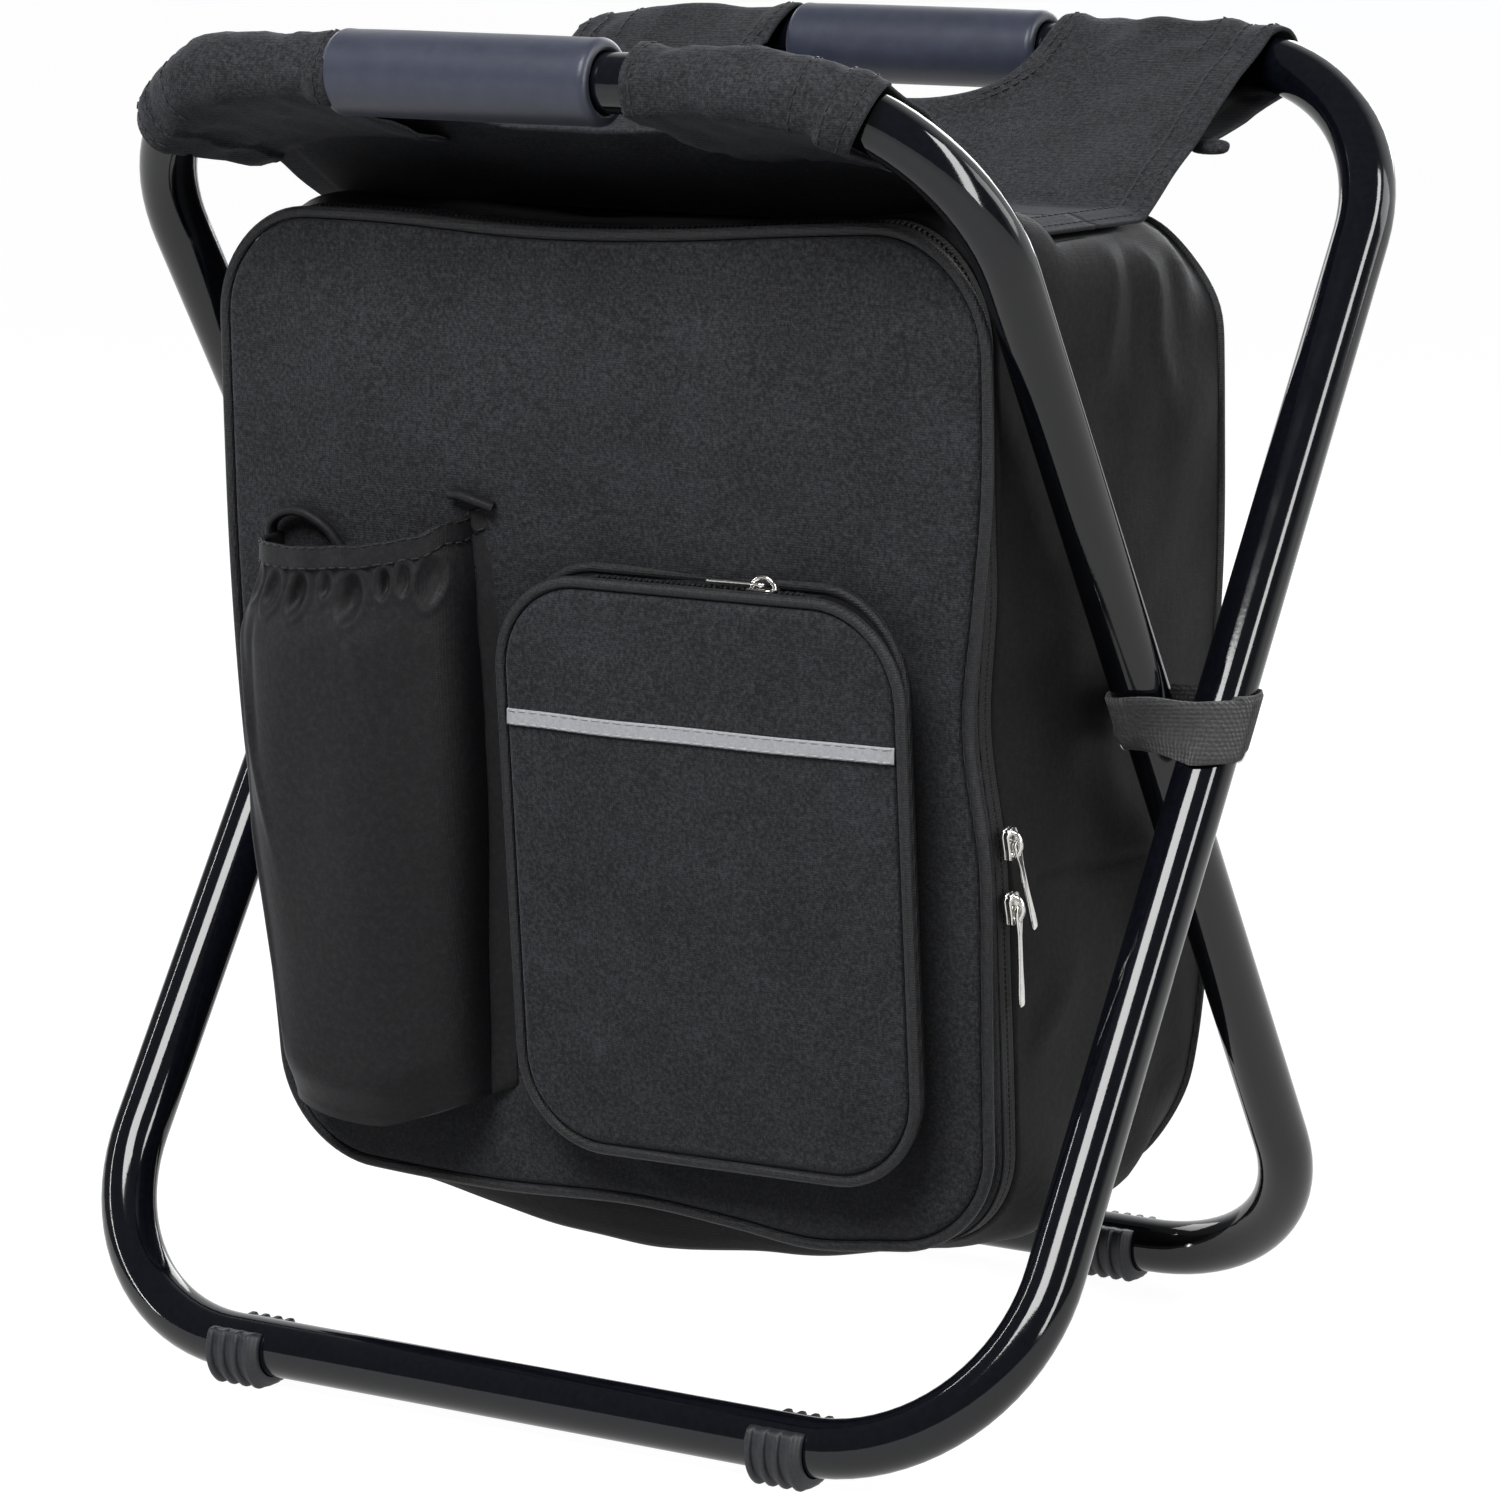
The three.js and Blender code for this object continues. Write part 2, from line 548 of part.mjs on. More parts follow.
const pocketBox = slab(pocketSection(0), -GAP - POCKET_DEPTH, -GAP);
const pocketHollow = slab(pocketSection(CLOTH_T), -GAP - POCKET_DEPTH + CLOTH_T, CLOTH_T);
const mouthLength = POCKET_WIDTH - 2 * POCKET_CORNER_R;
const mouthY = -GAP - POCKET_DEPTH / 2;
const mouthWidth = mouthLength - 2 * POCKET_MOUTH_INSET;
const mouth = box(mouthWidth, POCKET_MOUTH_WIDTH, 4 * CLOTH_T, 0, mouthY, POCKET_TOP_Z);
const pocket = cut(pocketBox, pocketHollow, mouth).translate(POCKET_X, 0, 0);
add(bodies.panel, 'zip_pocket', leaning(pocket), LOOK.cloth);
const pocketEdge = [POCKET_X, POCKET_WIDTH / 2, POCKET_BOTTOM_Z, POCKET_TOP_Z, POCKET_CORNER_R];
piping(bodies.panel, 'zip_pocket_front_piping', pocketEdge, BAG_FRONT_Y - POCKET_DEPTH + PIPING_R, -BAG_LEAN);
piping(bodies.panel, 'zip_pocket_rear_piping', pocketEdge, BAG_FRONT_Y - PIPING_R - GAP, -BAG_LEAN);
const stripY = -2 * GAP - POCKET_DEPTH - STRIP_T / 2;
const stripZ = POCKET_BOTTOM_Z + STRIP_RISE;
const strip = box(POCKET_WIDTH - 2 * STRIP_INSET, STRIP_T, STRIP_HEIGHT, POCKET_X, stripY, stripZ);
add(bodies.panel, 'reflective_strip', leaning(strip), LOOK.strip);
const pocketTapeZ = POCKET_TOP_Z + GAP + POCKET_TAPE_T / 2;
add(bodies.panel, 'pocket_zipper_tape',
  leaning(box(mouthLength, POCKET_TAPE_WIDTH, POCKET_TAPE_T, POCKET_X, mouthY, pocketTapeZ)), LOOK.zipper);

// Sliders and pulls. A pull hangs on the slider by a hole near its top end.
function pullPlate(length) {
  const shape = new THREE.Shape();
  const half = PULL_WIDTH / 2;
  shape.moveTo(-half, 0);
  shape.absarc(0, -length + half, half, Math.PI, 2 * Math.PI);
  shape.absarc(0, -half / 2, half, 0, Math.PI);
  const hole = new THREE.Path();
  hole.absarc(0, -half / 2, PULL_HOLE / 2, 0, 2 * Math.PI);
  shape.holes.push(hole);
  return new THREE.ExtrudeGeometry(shape, { depth: PULL_T, bevelEnabled: false, curveSegments: 4 });
}

const zipperY = (z) => frontPlaneY(z) + TAPE_PANEL_Y + TAPE_W + GAP / 2;
for (const [name, z, aside] of [['upper', UPPER_SLIDER_Z, UPPER_PULL_DEG], ['lower', LOWER_SLIDER_Z, 0]]) {
  const face = BAG_X + GAP;
  const slider = new THREE.Group();
  slider.position.set(face, zipperY(z), z);
  slider.rotation.x = Math.atan(BAG_LEAN);
  part.add(slider);
  const body = box(SLIDER_T, SLIDER_WIDTH, SLIDER_LENGTH, SLIDER_T / 2, 0, 0);
  add(slider, `main_slider_${name}`, body, LOOK.steel);
  const pull = new THREE.Group();
  pull.position.set(SLIDER_T + GAP, 0, 0);
  pull.rotation.x = THREE.MathUtils.degToRad(aside);
  slider.add(pull);
  add(pull, `main_pull_${name}`, pullPlate(PULL_LENGTH).rotateX(Math.PI / 2).rotateZ(Math.PI / 2), LOOK.steel);
}

const pocketSlider = new THREE.Group();
pocketSlider.position.set(POCKET_X + POCKET_SLIDER_SHIFT, frontPlaneY(pocketTapeZ) + mouthY,
  pocketTapeZ + POCKET_TAPE_T / 2 + GAP);
part.add(pocketSlider);
add(pocketSlider, 'pocket_slider', box(SLIDER_LENGTH, SLIDER_WIDTH, SLIDER_T, 0, 0, SLIDER_T / 2), LOOK.steel);
add(pocketSlider, 'pocket_pull',
  pullPlate(POCKET_PULL_LENGTH).rotateZ(-Math.PI / 2).translate(0, 0, SLIDER_T + GAP), LOOK.steel);

// Seat. Each half slopes from the flat middle up to its bar and lies just over the sleeve.
// In a half's own frame x runs across, y down the slope from the bar and z out of the cloth.
function slopeFrame(side) {
  const edgeY = side < 0 ? SEAT_FRONT_Y : SEAT_REAR_Y;
  const run = Math.abs(side * BAR_Y - edgeY);
  const rise = HIGH_Z - SEAT_TOP_Z;
  const lift = SLEEVE_R - CLOTH_T;
  const reach = Math.hypot(run, rise);
  const angle = Math.atan2(rise, run) + Math.asin(lift / reach);
  const matrix = new THREE.Matrix4().makeTranslation(0, side * BAR_Y, HIGH_Z);
  if (side > 0) matrix.multiply(new THREE.Matrix4().makeRotationZ(Math.PI));
  matrix.multiply(new THREE.Matrix4().makeRotationX(-angle));
  return { matrix, lift, length: Math.sqrt(reach * reach - lift * lift), acrossSign: side < 0 ? 1 : -1 };
}

// The seat's slope is cut back at its corners, where the bends of the bar swing past it
function slopePanel(parent, name, side, halfWidth) {
  const { matrix, lift, length, acrossSign } = slopeFrame(side);
  const start = TAIL_LENGTH - LAP;
  const edge = (x) => start + CORNER_RELIEF * bendDrop(halfWidth, x);
  const end = length - 2 * GAP;
  const straight = halfWidth - BEND_R;
  const samples = (from, to) => [0, 0.4, 0.7, 1].map((share) => from + (to - from) * share);
  const notchLeft = NOTCH_X - NOTCH_WIDTH / 2;
  const notchRight = NOTCH_X + NOTCH_WIDTH / 2;
  const outline = [[SEAT_LEFT_X, end], [SEAT_RIGHT_X, end]];
  samples(SEAT_RIGHT_X, Math.min(straight, SEAT_RIGHT_X)).forEach((x) => outline.push([x, edge(x)]));
  const corner = (x, from) => [0, 30, 60, 90].forEach((turn) => {
    const angle = THREE.MathUtils.degToRad(from + turn);
    const y = NOTCH_DEPTH - NOTCH_CORNER_R + NOTCH_CORNER_R * Math.sin(angle);
    outline.push([x + NOTCH_CORNER_R * Math.cos(angle), y]);
  });
  corner(notchRight - NOTCH_CORNER_R, 0);
  corner(notchLeft + NOTCH_CORNER_R, 90);
  samples(Math.max(-straight, SEAT_LEFT_X), SEAT_LEFT_X).forEach((x) => outline.push([x, edge(x)]));
  const points = outline.map(([x, y]) => new THREE.Vector2(acrossSign * x, Math.max(y, start)));
  const sheet = new THREE.ExtrudeGeometry(new THREE.Shape(points), { depth: CLOTH_T, bevelEnabled: false })
    .translate(0, 0, lift - CLOTH_T).applyMatrix4(matrix);
  add(parent, name, sheet, LOOK.cloth);
}

slopePanel(bodies.bag, 'seat_front_panel', -1, INNER_X);
slopePanel(bodies.bag, 'seat_rear_panel', 1, OUTER_X);
add(bodies.bag, 'seat_middle', box(SEAT_RIGHT_X - SEAT_LEFT_X, SEAT_REAR_Y - SEAT_FRONT_Y, CLOTH_T, SEAT_X,
  (SEAT_FRONT_Y + SEAT_REAR_Y) / 2, SEAT_TOP_Z - CLOTH_T / 2), LOOK.cloth);

// Sleeves: cloth tunnels on the bars either side of a grip, each with a tail lapped on the seat
function sleeve(parent, name, side, halfWidth, hand, bendSteps) {
  const straight = halfWidth - BEND_R;
  const inner = NOTCH_X + (hand * NOTCH_WIDTH) / 2;
  const stations = [loopStation(side, inner, 0, hand, 0)];
  for (let i = 0; i <= bendSteps; i += 1) {
    const angle = ((Math.PI / 2) * i) / BEND_STEPS;
    const x = hand * (straight + BEND_R * Math.sin(angle));
    const drop = BEND_R * (1 - Math.cos(angle));
    stations.push(loopStation(side, x, drop, hand * Math.cos(angle), Math.sin(angle)));
  }
  const tube = sweep(ringShape(SLEEVE_R, BORE_R, TUBE_SIDES), stations);
  const { matrix, lift, acrossSign } = slopeFrame(side);
  const outer = hand > 0 ? SEAT_RIGHT_X : SEAT_LEFT_X;
  const near = hand * Math.min(Math.abs(outer), straight + BEND_R / 4);
  const corners = [[inner, 0], [near, 0], [outer, TAIL_LENGTH], [inner, TAIL_LENGTH]];
  const outline = new THREE.Shape(corners.map(([x, y]) => new THREE.Vector2(acrossSign * x, y)));
  const tail = new THREE.ExtrudeGeometry(outline, { depth: CLOTH_T, bevelEnabled: false })
    .translate(0, 0, lift + GAP).applyMatrix4(matrix);
  add(parent, name, join(tube, tail), LOOK.cloth);
}

for (const [hand, name] of [[-1, 'left'], [1, 'right']]) {
  sleeve(bodies.inner, `seat_sleeve_front_${name}`, -1, INNER_X, hand, FRONT_SLEEVE_STEPS);
  sleeve(bodies.outer, `seat_sleeve_rear_${name}`, 1, OUTER_X, hand, REAR_SLEEVE_STEPS);
}

// Webbing loops that hold the bag to the crossing legs. Each is wide enough for the legs to turn in.
const legTilt = Math.atan2(BAR_SPREAD, BAR_RISE);
const strapHalfY = TUBE_R / Math.cos(legTilt) + (STRAP_LIFT + STRAP_HEIGHT / 2) * Math.tan(legTilt) + 2 * GAP;
const strapNearX = BAG_X + GAP;
const strapFarX = OUTER_X + TUBE_R + GAP + RIVET_HEAD_T + RUN_GAP + STRAP_T;
for (const [hand, name] of [[-1, 'left'], [1, 'right']]) {
  const middle = (hand * (strapNearX + strapFarX)) / 2;
  const halfX = (strapFarX - strapNearX) / 2;
  const outer = roundedRect(halfX, -strapHalfY - STRAP_T, strapHalfY + STRAP_T, 3 * STRAP_T);
  outer.holes.push(roundedRect(halfX - STRAP_T, -strapHalfY, strapHalfY, 2 * STRAP_T, THREE.Path));
  const loop = new THREE.ExtrudeGeometry(outer, { depth: STRAP_HEIGHT, bevelEnabled: false, curveSegments: 1 })
    .translate(middle, 0, PIVOT_Z + STRAP_LIFT - STRAP_HEIGHT / 2);
  add(bodies.bag, `pivot_strap_${name}`, loop, LOOK.webbing);
}

// Shoulder straps on the back: a pad, a ladder lock and a length of webbing on each side
function band(fromX, fromZ, toX, toZ, width, frontY, thickness) {
  const dx = toX - fromX;
  const dz = toZ - fromZ;
  const length = Math.hypot(dx, dz);
  return new THREE.BoxGeometry(width, thickness, length).rotateY(Math.atan2(dx, dz))
    .translate((fromX + toX) / 2, frontY + thickness / 2, (fromZ + toZ) / 2);
}

const backFace = BAG_BACK_Y + GAP;
const padTopZ = BAG_TOP_Z - SHOULDER_TOP_DROP;
const padLowZ = BAG_BOTTOM_Z + SHOULDER_LOW_RISE;
for (const [hand, name] of [[-1, 'left'], [1, 'right']]) {
  add(bodies.bag, `shoulder_pad_${name}`, band(hand * SHOULDER_LOW_X, padLowZ, hand * SHOULDER_TOP_X, padTopZ,
    SHOULDER_WIDTH, backFace, SHOULDER_T), LOOK.cloth);
  const lean = Math.atan2(hand * (SHOULDER_TOP_X - SHOULDER_LOW_X), padTopZ - padLowZ);
  const rows = [-BUCKLE_SLOT_PITCH / 2, BUCKLE_SLOT_PITCH / 2];
  const slots = rows.map((row) => box(WEB_WIDTH + GAP, 3 * BUCKLE_T, BUCKLE_SLOT, 0, 0, row));
  const buckle = cut(box(BUCKLE_WIDTH, BUCKLE_T, BUCKLE_HEIGHT, 0, 0, 0), ...slots)
    .translate(0, BUCKLE_T / 2, -BUCKLE_HEIGHT / 2 - GAP).rotateY(lean)
    .translate(hand * SHOULDER_LOW_X, backFace, padLowZ);
  add(bodies.bag, `ladder_lock_${name}`, buckle, LOOK.plastic);
  const up = new THREE.Vector2(Math.sin(lean), Math.cos(lean));
  const top = new THREE.Vector2(hand * SHOULDER_LOW_X, padLowZ).addScaledVector(up, -BUCKLE_HEIGHT - 2 * GAP);
  const low = new THREE.Vector2(hand * WEB_LOW_X, BAG_BOTTOM_Z + WEB_LOW_RISE);
  const along = top.clone().sub(low).normalize();
  top.addScaledVector(along, -(WEB_WIDTH / 2) * Math.abs(along.cross(up)) - GAP);
  const web = band(low.x, low.y, top.x, top.y, WEB_WIDTH, backFace, WEB_T);
  add(bodies.bag, `shoulder_web_${name}`, web, LOOK.webbing);
}

export default part;
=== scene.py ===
import math

import bmesh
import bpy
import numpy as np
from mathutils import Matrix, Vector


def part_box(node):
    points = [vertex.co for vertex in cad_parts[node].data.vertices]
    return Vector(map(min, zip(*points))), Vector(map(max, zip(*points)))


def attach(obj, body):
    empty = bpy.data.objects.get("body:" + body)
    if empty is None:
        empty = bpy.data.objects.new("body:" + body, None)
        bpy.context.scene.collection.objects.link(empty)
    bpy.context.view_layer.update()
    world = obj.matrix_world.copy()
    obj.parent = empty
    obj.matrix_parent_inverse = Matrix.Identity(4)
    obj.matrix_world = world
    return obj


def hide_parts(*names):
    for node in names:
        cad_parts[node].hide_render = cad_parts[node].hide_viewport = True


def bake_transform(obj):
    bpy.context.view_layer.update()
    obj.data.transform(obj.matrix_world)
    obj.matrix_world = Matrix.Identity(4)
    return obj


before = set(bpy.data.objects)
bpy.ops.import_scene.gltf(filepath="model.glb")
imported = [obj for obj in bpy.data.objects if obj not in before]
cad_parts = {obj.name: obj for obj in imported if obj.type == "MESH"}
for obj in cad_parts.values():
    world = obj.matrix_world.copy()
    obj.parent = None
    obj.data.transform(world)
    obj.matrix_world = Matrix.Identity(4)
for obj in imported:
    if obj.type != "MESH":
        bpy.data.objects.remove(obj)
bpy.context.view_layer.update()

# A folding stool with a cooler bag between its crossed tube loops.
# Shapes are worked out in millimetres and become metres when a mesh is made.
MM = 0.001
X_AXIS = np.array([1.0, 0.0, 0.0])
Y_AXIS = np.array([0.0, 1.0, 0.0])
Z_AXIS = np.array([0.0, 0.0, 1.0])

# Tube loops
TUBE_R = 9.0
CLIP_WALL = 3.0
GRIP_TRIM = (2.0, 5.5)  # the foam is shorter than its solid, left and right
GRIP_LIP = 2.6
GRIP_FIT = 0.35
CLIP_FIT = 0.3
CLIP_EXTRA = 0.5  # the clip's wall is thicker than its solid's, and ribbed
CLIP_RIB = 1.3
CLIP_RIBS = 4
CLIP_MOUTH = math.radians(50)  # half of its opening
RIVET_R = 3.0
RIVET_DOME = 1.6
RIVET_HEAD = 1.9
WASHER_HOLE = 3.4
WASHER_EDGE = 0.4
STRAP_T = (0.5, 2.2)  # the inside and the outside of the band, from the tubes
STRAP_LAP = 1.2
BEND_R = 64.0
INNER_X = 148.5
OUTER_X = 168.5

# Bag
PANEL_LEAN = 0.1  # the front panel leans forward by this share of its height
RIM_DEPTH = 9.0
CLOTH_T = 1.6
FOAM_INSET = 4.4
FOAM_T = 2.8
LINER_INSET = 7.4
LINER_T = 1.2
CUP_FRONT = 9.4  # of both layers, behind the front plane
CUP_SEED = 24  # the same for both, so that they ripple alike
CORNER_R = 32.0
PIPING_R = 1.8
PIPING_OUT = 1.5
EDGE_ROLL = 3.2
SHELL_BACK = 17.3  # distances behind the front plane
PANEL_TAPE_BACK = 11.15
BAG_TAPE_BACK = 15.15
TAPE_WIDTH = 3.7
TAPE_T = 0.9
TAPE_INSET = 0.45
TEETH_INSET = 0.1
TEETH_SHIFT = 1.35  # from the middle of the tape to the teeth
TEETH_OUT = 0.5

# Pockets
BOTTLE_DEPTH = 34.0
BAND_DEPTH = 28.0
BAND_HEIGHT = 7.4
NYLON_T = 0.9
BOTTLE_COLUMNS = 201
BOTTLE_POWER = (0.72, 0.76)  # left and right: the lower, the squarer
BOTTLE_SIDE = 0.78  # share of the right half that the pocket's body takes, before its flat flange
FLANGE_FROM = 0.86  # share of the right half's cloth that is in the body
FLANGE_OUT = (3.4, 0.6)  # from the panel's plane, beside the body and at the edge
POCKET_ROLL = 3.2
POCKET_CORNER = 28.0
POCKET_DEPTH = 16.0
POCKET_TUCK = 7.0
POCKET_TILT = 1.3
POCKET_CROWN = 2.4
POCKET_UNEVEN = 0.5
POCKET_TAPE_T = 0.8
POCKET_TAPE_ENDS = 4.0  # without teeth
STRIP_HEIGHT = 5.2
STRIP_T = 0.9
STRIP_OUT = 0.5
STRIP_SEAM = 2.0  # from the middle of the strip
BAND_T = 1.9
BAND_SEAM = 3.2
# Puckers under the bottle pocket's elastic: place across, half width, half height and depth
GATHERS = (
    (-0.86, 3.5, 7.0, 1.8),
    (-0.62, 4.5, 8.0, 2.2),
    (-0.36, 4.5, 8.5, 3.0),
    (-0.12, 2.5, 5.5, 1.8),
    (0.12, 6.0, 9.5, 3.8),
    (0.38, 2.8, 6.0, 2.6),
    (0.52, 2.6, 6.0, 1.8),
    (0.66, 3.4, 8.5, 3.0))

# How the filled bag departs from its cut outline: (height, shift to the right) up the sides
# of the front panel, up the zipper and up the back, and (x, shift up) along top and floor.
RIGHT_SHAPE = ((57, -4.5), (107, -3.8), (150, -2.6), (180, -2.0), (222, -6.2), (262, -1.0),
               (293, 2.9), (328, 4.4), (364, 4.4))
ZIPPER_SHAPE = ((57, -2.0), (97, -1.4), (150, -1.2), (180, -1.2), (222, -5.2), (262, -1.6),
                (287, -1.2), (364, 0.4))
LEFT_SHAPE = ((57, 4.0), (99, 3.5), (148, 0.7), (200, -2.5), (250, -3.0), (308, -1.1), (364, 1.5))
BACK_SHAPE = ((57, -8.0), (80, -8.0), (107, -4.5), (146, -1.5), (227, -1.0), (259, 0.0),
              (304, -0.8), (364, -3.0))
TOP_SHAPE = ((-133, 0.5), (-75, 0.7), (-12, -1.7), (36, 0.1), (76, 3.3), (102, 5.0), (133, 5.5))
FLOOR_SHAPE = ((-133, 4.0), (-98, 1.8), (-53, 0.7), (8, 2.9), (39, 0.7), (67, -1.8), (95, 1.5), (133, 6.0))
FLOOR_SAG = 20.5
TOP_PUFF = 3.5
CORNER_FILL = 9.0  # the filling pushes the corners out between the front and the back
BACK_ROUND = 3.5
BACK_ROLL = 3.0
BACK_HOLLOW = 0.9
BACK_UNEVEN = 0.7
SIDE_SWELL = 2.2
STRAP_PRESS = 2.6  # how far the strap presses the side in
PANEL_CROWN = 2.2
PANEL_UNEVEN = 0.7

# Folds in the cloth: start, end, height and width. On the sides they spread from under the seat's corner.
SIDE_FOLDS = (
    ((8, 364), (44, 296), 1.7, 5.0),
    ((26, 362), (48, 322), -1.5, 4.5),
    ((-13, 360), (-6, 306), 0.9, 4.5),
    ((-1, 360), (12, 310), -1.1, 4.0),
    ((38, 362), (62, 334), 1.0, 5.5),
    ((-40, 172), (60, 166), -2.2, 2.3),
    ((-45, 120), (-10, 150), 1.2, 6.0),
    ((10, 90), (48, 130), 1.0, 7.0))
PANEL_FOLDS = (
    ((76, 56), (82, 80), 1.3, 2.6),
    ((100, 60), (108, 88), 1.6, 3.0),
    ((20, 60), (-6, 84), 1.2, 4.0),
    ((-60, 300), (60, 318), 0.7, 12.0),
    ((-95, 335), (-70, 285), 0.8, 9.0))

# Seat
SLEEVE_R = 10.7  # to the middle of the cloth
SEAT_T = 1.3
UNDER_REACH = 58.0  # from the bar to the seam under the slope
NOTCH_DEPTH = 50.0
NOTCH_CORNER = 30.0
HEM_WIDTH = 11.0
HEM_RAISE = 0.9
HEM_OVERHANG = (4.5, 1.5)  # the left and right hems narrow the cut-out
SEAT_CROWN = 3.0
SEAT_FOLD = 3.5
UNDER_ANGLE = math.radians(195)  # round the bar, from its upper side to where the underside leaves it
NOTCH_SEAMS = (3.6, 7.0)  # from the edge of the cut-out
FRONT_WRAP = (48.0, 32.0)  # degrees of the bend that the left and the right sleeve cover
REAR_WRAP = (31.0, 15.0)
SLEEVE_SLACK = 3.5  # the left front sleeve stands off the bend


def box(node):
    """Lowest and highest corner of a CAD node, in millimetres."""
    low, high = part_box(node)
    return np.array(low) / MM, np.array(high) / MM


def middle(node):
    low, high = box(node)
    return (low + high) / 2


def half_size(node):
    low, high = box(node)
    return (high - low) / 2


BAR_Y = middle("rear_grip")[1]
HIGH_Z = middle("rear_grip")[2]
LOW_Z = TUBE_R + CLIP_WALL
PIVOT_Z = (LOW_Z + HIGH_Z) / 2
BAR_RISE = HIGH_Z - LOW_Z
BAR_SPREAD = 2 * BAR_Y
LEG = math.hypot(BAR_RISE, BAR_SPREAD)
BAG_LOW, BAG_HIGH = box("bag_shell")
BAG_X = BAG_HIGH[0]
BAG_BACK = BAG_HIGH[1]
BAG_MID_Z = (BAG_LOW[2] + BAG_HIGH[2]) / 2
FRONT_LOW_Y = box("front_panel_skin")[1][1] - RIM_DEPTH
SEAT_LOW, SEAT_HIGH = box("seat_middle")
SEAT_Z = SEAT_HIGH[2] - SEAT_T / 2
NOTCH_LEFT = box("seat_sleeve_front_left")[1][0] + HEM_OVERHANG[0]
NOTCH_RIGHT = box("seat_sleeve_front_right")[0][0] - HEM_OVERHANG[1]
NOTCH_X = (NOTCH_LEFT + NOTCH_RIGHT) / 2
NOTCH_HALF = (NOTCH_RIGHT - NOTCH_LEFT) / 2


# Shapes

def smooth(t):
    t = np.clip(t, 0, 1)
    return t * t * (3 - 2 * t)


def unit(vectors):
    vectors = np.asarray(vectors, float)
    return vectors / np.maximum(np.linalg.norm(vectors, axis=-1, keepdims=True), 1e-9)


def xyz(x, y, z):
    """Points from their coordinates, any of which may be one number for all."""
    return np.stack(np.broadcast_arrays(x, y, z), axis=-1).astype(float)


def at_y(points, y):
    """A copy of the points, moved to another y."""
    moved = np.array(points, float)
    moved[:, 1] = y
    return moved


def turns(count):
    """Even angles round a circle."""
    return np.arange(count) * 2 * math.pi / count


def squared(wave, power):
    """A sine or cosine to a power below 1, its sign kept, which squares up an oval."""
    return np.sign(wave) * np.abs(wave) ** power


def mirrored(half):
    """A closed outline from its upper half. Points on the axis aren't repeated."""
    return half + [(a, -b) for a, b in reversed(half) if b]


def ripple(points, wavelength, seed, count=7):
    """Soft unevenness, mostly between -1 and 1, from a few crossing waves that a seed picks."""
    rng = np.random.default_rng(seed)
    rate = 2 * math.pi / (wavelength * rng.uniform(0.7, 1.6, count))
    way = unit(rng.normal(size=(count, 3))) * rate[:, None]
    phase = rng.uniform(0, 2 * math.pi, count)
    return np.sin(np.asarray(points) @ way.T + phase).sum(-1) / math.sqrt(count)


def bent(line, at):
    """A smooth curve through a few (place, value) points."""
    place, value = np.array(line, float).T
    slope = np.gradient(value, place)
    at = np.clip(at, place[0], place[-1])
    i = np.clip(np.searchsorted(place, at) - 1, 0, len(place) - 2)
    step = place[i + 1] - place[i]
    t = (at - place[i]) / step
    start = (1 + 2 * t) * value[i] + t * step * slope[i]
    end = (3 - 2 * t) * value[i + 1] + (t - 1) * step * slope[i + 1]
    return (1 - t) ** 2 * start + t ** 2 * end


def crease(a, b, start, end, width):
    """A fold along a line on a face with coordinates a and b. It fades towards its end."""
    way = np.subtract(end, start).astype(float)
    length = math.hypot(*way)
    way = way / length
    along = ((a - start[0]) * way[0] + (b - start[1]) * way[1]) / length
    off = (a - start[0]) * way[1] - (b - start[1]) * way[0]
    return np.exp(-(off / width) ** 2) * smooth((along + 0.15) / 0.2) * smooth((1 - along) / 0.6)


def folds(a, b, lines):
    """The height of several folds on a face with coordinates a and b."""
    return sum(height * crease(a, b, start, end, width) for start, end, height, width in lines)


def rework(data, change):
    """Changes a mesh by a function of its editable form."""
    work = bmesh.new()
    work.from_mesh(data)
    change(work)
    work.to_mesh(data)
    work.free()


def face_outward(work):
    bmesh.ops.recalc_face_normals(work, faces=work.faces)


def weld(work):
    bmesh.ops.remove_doubles(work, verts=work.verts, dist=1e-6)
    face_outward(work)


def drop_loose(work):
    loose = [v for v in work.verts if not v.link_faces]
    bmesh.ops.delete(work, geom=loose, context="VERTS")


def thicken(piece, thickness):
    """Gives a sheet its thickness, half on each side."""
    thick = piece.modifiers.new("cloth", "SOLIDIFY")
    thick.thickness = thickness * MM
    thick.offset = 0


def make(name, points, faces, material, crisp=None):
    """A mesh object from points in millimetres. Edges sharper than crisp degrees stay sharp."""
    data = bpy.data.meshes.new(name)
    data.from_pydata((np.asarray(points, float).reshape(-1, 3) * MM).tolist(), [], faces)
    rework(data, face_outward)
    data.shade_smooth()
    if crisp:
        data.set_sharp_from_angle(angle=math.radians(crisp))
    data.materials.append(material)
    made = bpy.data.objects.new(name, data)
    bpy.context.scene.collection.objects.link(made)
    return made


def quads(rows, cols, wrap_rows=False, wrap_cols=False):
    faces = []
    for r in range(rows if wrap_rows else rows - 1):
        for c in range(cols if wrap_cols else cols - 1):
            below, right = (r + 1) % rows, (c + 1) % cols
            faces.append((r * cols + c, r * cols + right, below * cols + right, below * cols + c))
    return faces


def loft(name, rings, material, crisp=None):
    """A closed form through rings of points, with its first and last ring drawn together."""
    rings = np.asarray(rings, float)
    rows, cols = rings.shape[:2]
    points = np.vstack([rings.reshape(-1, 3), rings[0].mean(0), rings[-1].mean(0)])
    faces = quads(rows, cols, wrap_cols=True)
    first, last = rows * cols, rows * cols + 1
    for c in range(cols):
        right = (c + 1) % cols
        faces.append((first, right, c))
        faces.append((last, (rows - 1) * cols + c, (rows - 1) * cols + right))
    return make(name, points, faces, material, crisp)


